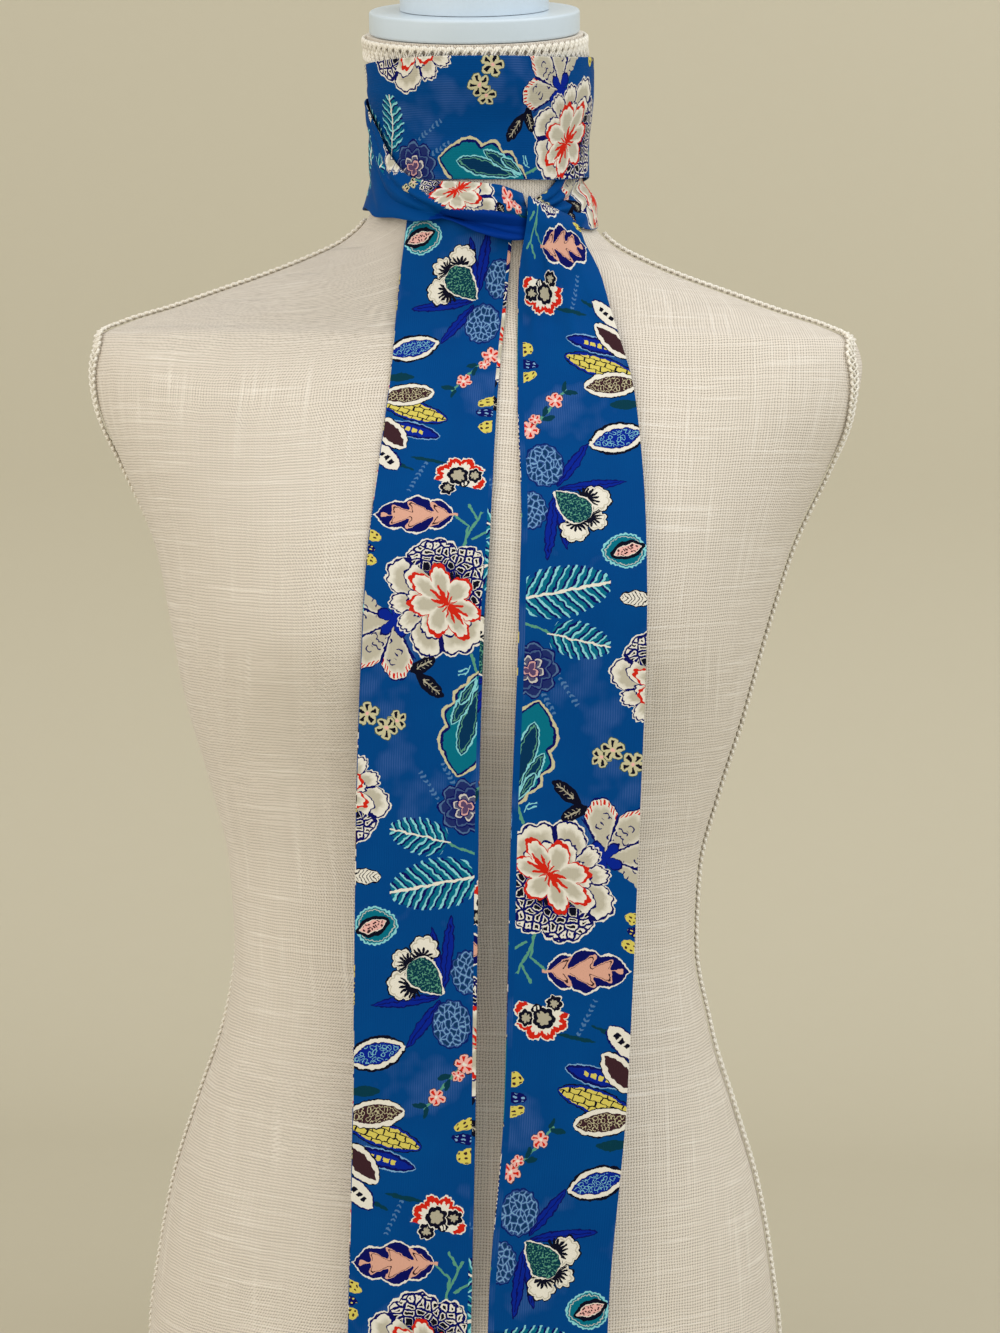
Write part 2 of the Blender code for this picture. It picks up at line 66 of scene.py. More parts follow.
def place_camera():
    """Stand the camera at its distance from the aim, its own axes turned by azimuth, pitch and roll."""
    lens = bpy.data.cameras.new("camera")
    lens.sensor_fit = "HORIZONTAL"
    lens.sensor_width = FRAME_WIDTH
    lens.lens = LENS_LENGTH
    stand = bpy.data.objects.new("camera", lens)
    bpy.context.scene.collection.objects.link(stand)
    side = Vector((math.cos(CAMERA_AZIMUTH), math.sin(CAMERA_AZIMUTH), 0.0))
    back = Vector((math.sin(CAMERA_AZIMUTH) * math.cos(CAMERA_PITCH),
                   -math.cos(CAMERA_AZIMUTH) * math.cos(CAMERA_PITCH),
                   math.sin(CAMERA_PITCH)))
    up = back.cross(side)
    right = side * math.cos(CAMERA_ROLL) + up * math.sin(CAMERA_ROLL)
    top = up * math.cos(CAMERA_ROLL) - side * math.sin(CAMERA_ROLL)
    eye = side * AIM_SIDE + Vector((0.0, 0.0, AIM_HEIGHT)) + back * CAMERA_DISTANCE
    turn = Matrix((right, top, back)).transposed().to_4x4()
    stand.matrix_world = Matrix.Translation(eye) @ turn
    bpy.context.scene.camera = stand
    return stand


print("camera at", [round(value, 3) for value in place_camera().matrix_world.translation])

# %% [markdown]
# The form's shape is a table of sections, from the base to the neck: how wide each is, how far it reaches
# to the front and the back, where its centre lies, and how square it is. It could be a sculpted mesh, but a
# table keeps the cover, the braids and the cloth that rest on it on one and the same surface.

# %% Sections of the form
FORM_COLUMNS = ("height", "half_width", "front", "back", "centre", "side", "squareness")
FORM_SECTIONS = (
    (0.0, 158.2, 99.0, 111.0, 0.0, 0.0, 2.25),
    (70.0, 158.8, 100.0, 112.0, 0.0, 0.0, 2.25),
    (110.0, 154.2, 98.0, 110.0, 0.0, 0.0, 2.25),
    (150.0, 146.8, 94.0, 104.0, 0.0, 0.0, 2.25),
    (190.0, 134.6, 88.0, 95.0, 0.0, 0.0, 2.25),
    (230.0, 121.8, 83.0, 84.0, 0.0, 0.0, 2.2),
    (270.0, 115.4, 80.0, 77.0, 0.0, -1.5, 2.2),
    (310.0, 117.4, 81.0, 77.0, 0.0, -2.4, 2.2),
    (350.0, 127.0, 85.0, 82.0, 0.0, -2.6, 2.2),
    (390.0, 138.8, 91.0, 89.0, 0.0, -2.6, 2.25),
    (430.0, 147.8, 96.0, 94.0, 0.0, -1.4, 2.3),
    (470.0, 158.0, 94.0, 98.0, 0.0, 0.0, 2.3),
    (510.0, 175.4, 85.0, 98.0, 0.0, 0.0, 2.3),
    (540.0, 188.0, 75.0, 94.0, 0.0, 0.0, 2.3),
    (560.0, 191.8, 67.0, 88.0, 0.0, 0.0, 2.2),
    (572.0, 188.5, 62.5, 82.0, 0.0, 0.0, 2.1),
    (579.0, 174.0, 60.0, 78.0, 0.0, 0.0, 2.0),
    (587.0, 149.0, 58.5, 75.0, 0.0, 0.0, 2.0),
    (595.0, 126.0, 57.5, 71.5, 0.0, 0.0, 2.0),
    (603.0, 103.0, 57.0, 67.5, 0.0, 0.0, 2.0),
    (611.0, 83.0, 57.0, 63.5, 0.0, 0.4, 2.0),
    (619.0, 67.0, 57.0, 60.0, -1.0, 1.4, 2.0),
    (628.0, 57.0, 56.0, 57.0, -3.0, 2.4, 2.0),
    (636.0, 52.0, 55.0, 55.0, -5.5, 2.6, 2.0),
    (648.0, 49.2, 54.0, 53.5, -8.5, 2.6, 2.0),
    (665.0, 49.0, 53.5, 53.0, -12.5, 2.6, 2.0),
    (690.0, 51.5, 53.5, 52.5, -18.5, 2.6, 2.0),
    (720.0, 52.5, 53.5, 52.5, -26.0, 1.4, 2.0),
    (740.0, 52.5, 53.5, 52.5, -31.0, 1.0, 2.0),
)
BUST_HEIGHT = 437.0
BUST_SIDE = 84.0
BUST_DEPTH = 19.0
BUST_SPREAD_SIDE = 40.0
BUST_SPREAD_UP = 56.0
BUST_SPREAD_DOWN = 38.0
NECK_TOP = 719.0
NECK_TILT = math.radians(14.0)
TILT_START = 600.0
TILT_ROUNDS = 6


def columns(rows, names):
    """Turn a table of rows into one array for each named column."""
    table = np.array(rows, dtype=float)
    return {name: table[:, place] for place, name in enumerate(names)}


def smooth(at, known, values):
    """Cubic curve through the known values that never swings past them, read at the given places."""
    steps = np.diff(values) / np.diff(known)
    both = steps[:-1] * steps[1:]
    total = np.where(both > 0, steps[:-1] + steps[1:], 1.0)
    inner = np.where(both > 0, 2.0 * both / total, 0.0)
    slopes = np.concatenate([steps[:1], inner, steps[-1:]])
    at = np.clip(at, known[0], known[-1])
    left = np.clip(np.searchsorted(known, at, side="right") - 1, 0, len(known) - 2)
    span = known[left + 1] - known[left]
    t = (at - known[left]) / span
    start = values[left] * (1 + 2 * t) * (1 - t) ** 2 + slopes[left] * span * t * (1 - t) ** 2
    end = values[left + 1] * t * t * (3 - 2 * t) - slopes[left + 1] * span * t * t * (1 - t)
    return start + end


FORM = columns(FORM_SECTIONS, FORM_COLUMNS)
print("sections of the form:", len(FORM["height"]))

# %% [markdown]
# A point of the form is found from an angle round it and a height: a squared ellipse, with the two soft
# mounds of the bust added to the front. Each other piece asks the same functions where the surface is.


# %% Surface of the form
def form_value(name, height):
    return smooth(height, FORM["height"], FORM[name])


def bust(x, z):
    """Two bell curves: how far the mounds of the bust stand forward of the plain section."""
    spread = np.where(z > BUST_HEIGHT, BUST_SPREAD_UP, BUST_SPREAD_DOWN)
    rise = np.exp(-0.5 * ((z - BUST_HEIGHT) / spread) ** 2)
    side = np.exp(-0.5 * ((np.abs(x) - BUST_SIDE) / BUST_SPREAD_SIDE) ** 2)
    return BUST_DEPTH * rise * side


def form_point(angle, z):
    """Squared ellipse: sine and cosine of the angle from the front, each to the power 2 / squareness."""
    power = 2.0 / form_value("squareness", z)
    across = np.sin(angle)
    along = np.cos(angle)
    x = form_value("side", z) + form_value("half_width", z) * np.sign(across) * np.abs(across) ** power
    reach = np.sign(along) * np.abs(along) ** power
    depth = np.where(along > 0, form_value("front", z) + bust(x, z), form_value("back", z))
    return np.stack([x, form_value("centre", z) - depth * reach, np.broadcast_to(z, x.shape)], axis=-1)


def unit(vectors):
    return vectors / np.linalg.norm(vectors, axis=-1, keepdims=True)


def form_normal(angle, z):
    """Outward normal: the cross product of a small step round the form and a small step up it."""
    round_step = form_point(angle + 0.01, z) - form_point(angle - 0.01, z)
    up_step = form_point(angle, z + 0.5) - form_point(angle, z - 0.5)
    return unit(np.cross(round_step, up_step))


def form_front(x, z):
    """How far forward of y = 0 the front lies at a side place and a height."""
    square = form_value("squareness", z)
    part = np.clip(np.abs(x - form_value("side", z)) / form_value("half_width", z), 0.0, 0.999)
    reach = (1.0 - part ** square) ** (1.0 / square)
    return (form_value("front", z) + bust(x, z)) * reach - form_value("centre", z)


def lifted_front(x, z, lift):
    """Point at the given side place and height, held off the front along the surface's normal."""
    step = 0.5
    base_x, base_z = x, z
    for _ in range(5):
        slope_x = (form_front(base_x + step, base_z) - form_front(base_x - step, base_z)) / (2 * step)
        slope_z = (form_front(base_x, base_z + step) - form_front(base_x, base_z - step)) / (2 * step)
        length = np.sqrt(1 + slope_x ** 2 + slope_z ** 2)
        base_x = x + lift * slope_x / length
        base_z = z + lift * slope_z / length
    return np.stack([x, -form_front(base_x, base_z) - lift / length, z], axis=-1)


def form_side(y, z):
    """How far out to the side the surface lies at a depth and a height."""
    square = form_value("squareness", z)
    ahead = form_value("centre", z) - y
    depth = np.where(ahead > 0, form_value("front", z), form_value("back", z))
    part = np.clip(np.abs(ahead) / depth, 0.0, 0.999)
    return form_value("half_width", z) * (1.0 - part ** square) ** (1.0 / square)


def tilt_height(angle, z):
    """Height on the neck after its rows are tilted to the front, by a smooth step up to the neck's top."""
    blend = np.clip((z - TILT_START) / (NECK_TOP - TILT_START), 0.0, 1.0)
    blend = blend * blend * (3.0 - 2.0 * blend)
    tilted = z
    for _ in range(TILT_ROUNDS):
        away = form_point(angle, tilted)[..., 1] - form_value("centre", z)
        tilted = z + math.tan(NECK_TILT) * blend * away
    return tilted


print("front of the chest at 500 mm up:", round(float(form_front(np.array(0.0), np.array(500.0))), 1), "mm")

# %% [markdown]
# Every new piece is a skin of closed rings: rings of the torso, rings round a strand of braid, flat rings
# round the two layers of the scarf. One helper joins ring to ring with quads and zips the two end rings shut,
# so nothing is left open.


# %% Skin of closed rings
def skin_faces(rings, around, first=0, closed=False):
    """Quads between neighbouring rings, and quads that zip the first and the last ring flat."""
    place = first + np.arange(rings * around).reshape(rings, around)
    rows = np.vstack([place, place[:1]]) if closed else place
    rows = np.hstack([rows, rows[:, :1]])
    walls = np.stack([rows[:-1, :-1], rows[:-1, 1:], rows[1:, 1:], rows[1:, :-1]], axis=-1).reshape(-1, 4)
    if closed:
        return walls
    step = np.arange(around // 2 - 1)
    zips = []
    for ring, flip in ((place[0], True), (place[-1], False)):
        other = around - 1 - step
        quads = np.stack([ring[step], ring[step + 1], ring[other - 1], ring[other]], axis=-1)
        zips.append(quads[:, ::-1] if flip else quads)
    return np.vstack([walls] + zips)


def make_piece(name, points, faces, material, corner_uv=None, sharp=None, turn_over=False):
    """Put points in millimetres and faces into an object at the origin, with its own map if it has one."""
    mesh = bpy.data.meshes.new(name)
    if turn_over:
        faces = faces[:, ::-1]
        corner_uv = corner_uv[:, ::-1]
    mesh.from_pydata((np.asarray(points).reshape(-1, 3) * MM).tolist(), [], np.asarray(faces).tolist())
    if corner_uv is not None:
        layer = mesh.uv_layers.new(name="cloth")
        layer.uv.foreach_set("vector", np.asarray(corner_uv, dtype=np.float32).ravel())
    mesh.shade_smooth()
    if sharp is not None:
        mesh.set_sharp_from_angle(angle=math.radians(sharp))
    mesh.materials.append(material)
    piece = bpy.data.objects.new(name, mesh)
    bpy.context.scene.collection.objects.link(piece)
    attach(piece, "root")
    print(name, "faces:", len(mesh.polygons))
    return piece


def ring_uv(across, along, around, closed=False):
    """Corner map for a skin: one value across each ring, which runs on past its last corner, one along."""
    rows = np.concatenate([along, along[-1:] + (along[-1:] - along[-2:-1])]) if closed else along
    grid = np.stack(np.meshgrid(rows, across, indexing="ij")[::-1], axis=-1)
    walls = np.stack([grid[:-1, :-1], grid[:-1, 1:], grid[1:, 1:], grid[1:, :-1]], axis=2).reshape(-1, 4, 2)
    if closed:
        return walls
    ends = np.zeros((2 * (around // 2 - 1), 4, 2))
    ends[:] = grid[0, 0]
    return np.vstack([walls, ends])


print("a ring of 8 zips shut with", 8 // 2 - 1, "quads at each end")

# %% [markdown]
# Materials are written as sums. One small class wraps a socket, so that 1 - mask or wave * 0.5 adds the
# Math nodes by itself, and one method adds any other node. Colours are mixed with Mix nodes.


# %% Shader sums
class Ink:
    """A value in a node tree: sums written with it add Math nodes."""

    def __init__(self, tree, socket=None):
        self.tree = tree
        self.socket = socket

    def node(self, kind, settings=None, sockets=None, output=0):
        """Add a node: first its settings, then the values or links of its sockets."""
        made = self.tree.nodes.new(kind)
        for name, value in (settings or {}).items():
            setattr(made, name, value)
        for name, value in (sockets or {}).items():
            if isinstance(value, Ink):
                self.tree.links.new(value.socket, made.inputs[name])
            else:
                made.inputs[name].default_value = value
        return Ink(self.tree, made.outputs[output])

    def output(self, place):
        """Another output of the same node."""
        return Ink(self.tree, self.socket.node.outputs[place])

    def math(self, operation, *values):
        """One Math node on this value and the others."""
        return self.node("ShaderNodeMath", {"operation": operation}, dict(enumerate((self,) + values)))

    def vector(self, operation, *values):
        """One Vector Math node on this vector and the others."""
        return self.node("ShaderNodeVectorMath", {"operation": operation}, dict(enumerate((self,) + values)))

    def __add__(self, other):
        return self.math("ADD", other)

    def __mul__(self, other):
        return self.math("MULTIPLY", other)

    __radd__ = __add__
    __rmul__ = __mul__

    def __sub__(self, other):
        return self.math("SUBTRACT", other)

    def __rsub__(self, other):
        return self.node("ShaderNodeMath", {"operation": "SUBTRACT"}, {0: other, 1: self})

    def __truediv__(self, other):
        return self.math("DIVIDE", other)

    def __pow__(self, other):
        return self.math("POWER", other)

    def __mod__(self, other):
        return self.math("FLOORED_MODULO", other)

    def __abs__(self):
        return self.math("ABSOLUTE")

    def __lt__(self, other):
        return self.math("LESS_THAN", other)

    def __gt__(self, other):
        return self.math("GREATER_THAN", other)

    def sin(self):
        return self.math("SINE")

    def least(self, other):
        return self.math("MINIMUM", other)

    def most(self, other):
        return self.math("MAXIMUM", other)


def srgb(red, green, blue):
    """A colour as seen on a screen, 0 to 255, turned into the linear colour that the shader takes."""
    parts = np.array([red, green, blue]) / 255.0
    linear = np.where(parts <= 0.04045, parts / 12.92, ((parts + 0.055) / 1.055) ** 2.4)
    return tuple(float(part) for part in linear)


def lay(under, colour, mask):
    """Print a colour over what is there, as strongly as the mask says."""
    over = colour if isinstance(colour, Ink) else (*colour, 1.0)
    return mask.node("ShaderNodeMix", {"data_type": "RGBA"}, {0: mask, 6: under, 7: over}, 2)


def new_material(name, viewport, **constants):
    """An empty material with its shader: constants go straight to the shader's own sockets."""
    material = bpy.data.materials.new(name)
    material.use_nodes = True
    material.diffuse_color = (*viewport, 1.0)
    shader = material.node_tree.nodes["Principled BSDF"]
    for socket, value in constants.items():
        shader.inputs[socket.replace("_", " ")].default_value = value
    return material, Ink(material.node_tree), shader


def finish_material(start, shader, colour, height, distance, strength=1.0, roughness=None):
    """Send the colour, the relief and perhaps the roughness to the shader."""
    bump = start.node("ShaderNodeBump", {}, {"Height": height, "Distance": distance, "Strength": strength})
    start.tree.links.new(bump.socket, shader.inputs["Normal"])
    start.tree.links.new(colour.socket, shader.inputs["Base Color"])
    if roughness is not None:
        start.tree.links.new(roughness.socket, shader.inputs["Roughness"])


print("linen as the shader takes it:", [round(part, 3) for part in srgb(205, 196, 178)])

# %% [markdown]
# The cover is natural linen in an open plain weave. Each thread goes over one crossing and under the next,
# and linen thread is uneven: here and there a thick length, a slub, shows as a pale streak along or across.
# The map of the cover is in millimetres of cloth, so the thread count stays the same all over the body.

# %% Linen
LINEN_PITCH = 1.45
THREAD = srgb(222, 213, 200)
THREAD_PALE = srgb(240, 235, 226)
GAP_SHADE = srgb(112, 100, 84)


def linen_material():
    """Plain weave: a thread's height is a half wave across it, high where it passes over."""
    material, start, shader = new_material("linen_cover", THREAD, Roughness=0.88, Sheen_Weight=0.15)
    cloth = start.node("ShaderNodeUVMap", {"uv_map": "cloth"}).vector("SCALE")
    cloth.socket.node.inputs["Scale"].default_value = 1000.0
    drift = cloth.node("ShaderNodeTexNoise", {"noise_dimensions": "2D"}, {"Vector": cloth, "Scale": 0.06}, 1)
    bent = cloth.vector("ADD", drift.vector("MULTIPLY", (1.6, 1.6, 0.0)))
    place = bent.node("ShaderNodeSeparateXYZ", {}, {0: bent})
    warp = place * (math.pi / LINEN_PITCH)
    weft = place.output(1) * (math.pi / LINEN_PITCH)
    warp_wave = abs(warp.sin())
    weft_wave = abs(weft.sin())
    over = (warp.sin() * weft.sin()) > 0.0
    thread = (warp_wave * (0.55 + over * 0.45)).most(weft_wave * (1.0 - over * 0.45))
    streak_up = streak(cloth, (0.57, 0.014, 1.0))
    streak_over = streak(cloth, (0.015, 0.57, 1.0))
    slub = (streak_up - 0.60).most(0.0) * 2.0 + (streak_over - 0.60).most(0.0) * 2.6
    wide = cloth.node("ShaderNodeTexNoise", {"noise_dimensions": "2D"}, {"Vector": cloth, "Scale": 0.012})
    tone = (streak_up + streak_over - 1.0) * 0.25 + (wide - 0.5) * 0.12
    # Painted shade: darker where the thread is low, in the gaps of the weave and where a thread passes under.
    colour = lay((*GAP_SHADE, 1.0), THREAD, (thread * 1.7 - 0.15 + tone).least(1.0).most(0.0))
    colour = lay(colour, THREAD_PALE, slub.least(0.7))
    finish_material(start, shader, colour, thread + slub * 0.8, 0.00035, 0.6)
    return material


def streak(cloth, stretch):
    """Noise drawn out along one thread direction, so it reads as single threads."""
    drawn = cloth.vector("MULTIPLY", stretch)
    return cloth.node("ShaderNodeTexNoise", {"noise_dimensions": "2D"},
                      {"Vector": drawn, "Scale": 1.0, "Detail": 2.0, "Roughness": 0.6})


LINEN = linen_material()
print("threads to a centimetre:", round(10 / LINEN_PITCH, 1))

# %% [markdown]
# The torso is one smooth cover with rings every few millimetres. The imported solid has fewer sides, so it
# would show flats in the light. The finer skin lies on the same sections and takes its place.

# %% Torso cover
BASE_ROUND = 4.0
BASE_RINGS = ((0.0, 4.0), (0.5, 2.0), (1.6, 0.8))
COVER_AROUND = 224
COVER_STEP = 2.6
SHOULDER_FROM = 572.0
SHOULDER_TO = 640.0
SHOULDER_STEP = 1.0
WAIST_HEIGHT = 300.0


def make_cover():
    """Rings of form points at even heights, the lowest drawn in to a soft base edge."""
    levels = np.arange(BASE_ROUND, NECK_TOP, COVER_STEP)
    extra = np.arange(SHOULDER_FROM, SHOULDER_TO, SHOULDER_STEP)
    levels = np.unique(np.concatenate([levels, extra, [NECK_TOP]]))
    turn = (np.arange(COVER_AROUND) + 0.5) * 2.0 * math.pi / COVER_AROUND
    angle, level = np.meshgrid(turn, levels, indexing="xy")
    height = tilt_height(angle, level)
    points = form_point(angle, height)
    base = []
    for low, inward in BASE_RINGS:
        ring = form_point(turn, np.full(COVER_AROUND, low))
        ring[:, :2] *= 1.0 - inward / np.linalg.norm(ring[:, :2], axis=1, keepdims=True)
        base.append(ring)
    points = np.concatenate([np.stack(base), points])
    rings = len(points)
    faces = skin_faces(rings, COVER_AROUND)
    loop = np.concatenate([points, points[:, :1]], axis=1)
    around = np.linalg.norm(np.diff(loop, axis=1), axis=2)
    across = np.concatenate([np.zeros((rings, 1)), np.cumsum(around, axis=1)], axis=1)
    rise = np.linalg.norm(np.diff(loop, axis=0), axis=2)
    along = np.concatenate([np.zeros((1, loop.shape[1])), np.cumsum(rise, axis=0)])
    waist = int(np.argmin(np.abs(points[:, 0, 2] - WAIST_HEIGHT)))
    along -= along[waist:waist + 1]
    grid = np.stack([across, along], axis=-1)
    walls = np.stack([grid[:-1, :-1], grid[:-1, 1:], grid[1:, 1:], grid[1:, :-1]], axis=2)
    whole = across[:-1, -1][:, None, None]
    quarter = COVER_AROUND // 4
    walls[:, quarter:3 * quarter, :, 0] -= whole * 0.5
    walls[:, 3 * quarter:, :, 0] -= whole
    walls = walls.reshape(-1, 4, 2) * MM
    ends = np.zeros((len(faces) - len(walls), 4, 2))
    return make_piece("form_cover", points, faces, LINEN, np.concatenate([walls, ends]), sharp=50)


cover = make_cover()
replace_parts(cover, "form_body")

# %% [markdown]
# Gimp braid hides the seams. It is a flat plait of three soft cotton cords, so it is made as one: each strand
# is a tube that swings from side to side and over and under, a third of a turn behind the next.

# %% Gimp braid
GIMP_GROOVE_SHADE = srgb(206, 198, 182)
GIMP_LIGHT = srgb(246, 242, 232)
STRAND_SIDES = 6


def gimp_material():
    """Twisted cord: slanting ply lines round and along each strand, with painted shade between them."""
    material, start, shader = new_material("gimp_cotton", GIMP_LIGHT, Roughness=0.72, Sheen_Weight=0.2)
    place = start.node("ShaderNodeUVMap", {"uv_map": "cloth"})
    place = place.node("ShaderNodeSeparateXYZ", {}, {0: place})
    ply = (place * (2.0 * math.pi) + place.output(1) * (2.0 * math.pi / 0.0011)).sin() * 0.5 + 0.5
    spot = start.node("ShaderNodeTexCoord", {}, {}, 3)
    patch = spot.node("ShaderNodeTexNoise", {}, {"Vector": spot, "Scale": 180.0})
    # Painted shade in the grooves where the ply is low; the noise adds random darker patches.
    colour = lay((*GIMP_GROOVE_SHADE, 1.0), GIMP_LIGHT, (ply * 0.55 + patch * 0.7).least(1.0))
    finish_material(start, shader, colour, ply, 0.0002, 0.7)
    return material


def even_path(points, step):
    """Points at even distances along a path, as near the step as the whole length allows."""
    length = np.concatenate([[0.0], np.cumsum(np.linalg.norm(np.diff(points, axis=0), axis=1))])
    count = max(int(round(length[-1] / step)), 4)
    at = np.linspace(0.0, length[-1], count + 1)
    return np.stack([np.interp(at, length, points[:, axis]) for axis in range(3)], axis=1), at


def plait(name, path, normal, swing, strand, rise, pitch, closed=False, lags=(0.0,)):
    """Three strands: the swing is a sine along the path, the rise a sine of twice the pace. Each strand is
    as many cords side by side as there are lags, each cord a little behind the one before."""
    tangent = np.gradient(path, axis=0)
    if closed:
        tangent = np.roll(path, -1, axis=0) - np.roll(path, 1, axis=0)
    tangent = unit(tangent)
    side = unit(np.cross(tangent, normal))
    up = np.cross(side, tangent)
    steps = np.linalg.norm(np.diff(path, axis=0), axis=1)
    along = np.concatenate([[0.0], np.cumsum(steps)])
    whole = along[-1] + (steps[-1] if closed else 0.0)
    turns = round(whole / pitch)
    phase = along / whole * turns * 2.0 * math.pi
    around = np.arange(STRAND_SIDES) * 2.0 * math.pi / STRAND_SIDES
    points, faces, maps = [], [], []
    for number, (third, behind) in enumerate([(third, behind) for third in range(3) for behind in lags]):
        lag = third * 2.0 * math.pi / 3.0 - behind
        centre = path + side * (swing * np.sin(phase + lag))[:, None]
        centre = centre + up * (rise * np.sin(2.0 * (phase + lag)) + strand[1] + rise)[:, None]
        ring = (centre[:, None] + side[:, None] * (strand[0] * np.cos(around))[None, :, None]
                + up[:, None] * (strand[1] * np.sin(around))[None, :, None])
        faces.append(skin_faces(len(path), STRAND_SIDES, number * len(path) * STRAND_SIDES, closed))
        maps.append(ring_uv(np.linspace(0.0, 1.0, STRAND_SIDES + 1), along * MM, STRAND_SIDES, closed))
        points.append(ring)
    piece = make_piece(name, np.concatenate(points), np.vstack(faces), GIMP, np.concatenate(maps),
                       turn_over=True)
    return piece


GIMP = gimp_material()
print("strands in a plait: 3")

# %% [markdown]
# The braid runs up each side seam, over the shoulder seam and round the top of the neck. The paths are the
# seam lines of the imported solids, so each braid lies where the solid lies and replaces it.

# %% Seam paths and braids
SEAM_COLUMNS = ("height", "behind")
SIDE_SEAM = (
    (7.0, 0.0),
    (200.0, 3.0),
    (270.0, 8.0),
    (430.0, 8.0),
    (500.0, 0.0),
    (545.0, -18.0),
    (563.0, -20.0),
    (572.0, -14.0),
    (576.0, -6.0),
)
SEAM = columns(SIDE_SEAM, SEAM_COLUMNS)
SEAM_TOP = 576.0
SHOULDER_SEAM_LOW = 576.2
SHOULDER_SEAM_SHIFT = ((576.2, -5.5), (584.0, 0.0))
SEAM_SIDES = (("left", -1.0, 630.0), ("right", 1.0, 624.0))
GIMP_STEP = 0.9
GIMP_PITCH = 10.0
GIMP_SWING = 2.9
GIMP_STRAND = (0.92, 0.8)
GIMP_RISE = 0.42
SEAM_TRIM_GAP = 0.45


def seam_path(heights, side, behind):
    """Seam on the side of the form, with the outward normal from its two slopes."""
    y = form_value("centre", heights) + behind
    x = form_value("side", heights) + side * form_side(y, heights)
    step = 0.5
    slope_z = (form_side(y, heights + step) - form_side(y, heights - step)) / (2 * step)
    slope_y = (form_side(y + step, heights) - form_side(y - step, heights)) / (2 * step)
    normal = unit(np.stack([np.full_like(heights, side), -slope_y, -slope_z], axis=-1))
    return np.stack([x, y, heights], axis=-1), normal


def braid_on_seam(name, node, heights, side, behind):
    """Lay a plait along a seam path at even steps."""
    path, normal = seam_path(heights, side, behind)
    even, _ = even_path(path, GIMP_STEP)
    level = np.interp(np.linspace(0, 1, len(even)), np.linspace(0, 1, len(heights)), heights)
    level = even[:, 2] if abs(heights[-1] - heights[0]) > 5.0 else level
    even_normal = unit(np.stack([np.interp(level, heights, normal[:, axis]) for axis in range(3)], axis=1))
    piece = plait(name, even + even_normal * SEAM_TRIM_GAP, even_normal, GIMP_SWING, GIMP_STRAND,
                  GIMP_RISE, GIMP_PITCH)
    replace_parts(piece, node)


for label, side, neck_end in SEAM_SIDES:
    seam_heights = np.linspace(SIDE_SEAM[0][0], SEAM_TOP, 900)
    braid_on_seam("side_gimp_" + label, "side_braid_" + label, seam_heights, side,
                  smooth(seam_heights, SEAM["height"], SEAM["behind"]))
    shoulder_heights = np.linspace(SHOULDER_SEAM_LOW, neck_end, 500)
    braid_on_seam("shoulder_gimp_" + label, "shoulder_braid_" + label, shoulder_heights, side,
                  np.interp(shoulder_heights, *np.array(SHOULDER_SEAM_SHIFT).T))

# %% [markdown]
# Round the neck the braid is wider, plaited from pairs of cords, so its upper edge shows a row of open
# loops. It is one closed plait on a ring that follows the tilted top of the neck.

# %% Neck braid
NECK_GIMP_BELOW = 6.2
NECK_GIMP_PITCH = 13.0
NECK_GIMP_SWING = 4.7
NECK_GIMP_STRAND = (1.05, 0.75)
NECK_GIMP_RISE = 0.45
NECK_GIMP_LAGS = (0.0, 0.62)
NECK_GIMP_GAP = 0.35
NECK_GIMP_STEP = 0.6


def neck_path(below):
    """Ring round the tilted neck, a given distance below its top, at even steps."""
    turn = np.linspace(0.0, 2.0 * math.pi, 1441)
    height = tilt_height(turn, np.full_like(turn, NECK_TOP - below))
    ring = form_point(turn, height) + form_normal(turn, height) * NECK_GIMP_GAP
    even, at = even_path(ring, NECK_GIMP_STEP)
    whole = np.concatenate([[0.0], np.cumsum(np.linalg.norm(np.diff(ring, axis=0), axis=1))])
    even_turn = np.interp(at, whole, turn)
    even_height = tilt_height(even_turn, np.full_like(even_turn, NECK_TOP - below))
    return even[:-1], form_normal(even_turn, even_height)[:-1]


path, normal = neck_path(NECK_GIMP_BELOW)
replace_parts(plait("neck_gimp", path, normal, NECK_GIMP_SWING, NECK_GIMP_STRAND, NECK_GIMP_RISE,
                  NECK_GIMP_PITCH, closed=True, lags=NECK_GIMP_LAGS), "neck_braid")

# %% [markdown]
# The cap on the neck is turned wood under satin paint: a flat disc with a soft edge and a plain knob above
# it. A turned shape is a profile carried round an axis, here the tilted axis of the neck.

# %% Painted cap
CAP_EDGE = 1.5
CAP_RADIUS = 51.0
CAP_THICK = 11.0
CAP_INSET = 20.0
KNOB_RADIUS = 36.0
KNOB_HEIGHT = 24.0
KNOB_ROUND = 7.0
KNOB_INSET = 10.0
TRIM_GAP = 0.3
CAP_PAINT = srgb(198, 212, 224)
CAP_AROUND = 128


def cap_material():
    """Satin paint: brushed evenly, with a faint orange peel and slightly duller patches."""
    material, start, shader = new_material("cap_paint", CAP_PAINT, Coat_Weight=0.15, Coat_Roughness=0.25)
    place = start.node("ShaderNodeTexCoord", {}, {}, 3)
    peel = place.node("ShaderNodeTexNoise", {}, {"Vector": place, "Scale": 420.0, "Detail": 2.0})
    patch = place.node("ShaderNodeTexNoise", {}, {"Vector": place, "Scale": 26.0, "Detail": 3.0})
    colour = lay((*srgb(190, 204, 214), 1.0), CAP_PAINT, (patch * 1.3).least(1.0))
    finish_material(start, shader, colour, peel, 0.0002, 0.25, 0.28 + patch * 0.16)
    return material


def arc(centre_radius, centre_height, radius, start, end, count):
    """Points of a rounded edge, from one angle to another."""
    angles = np.radians(np.linspace(start, end, count))
    return np.stack([centre_radius + radius * np.cos(angles),
                     centre_height + radius * np.sin(angles)], axis=1)


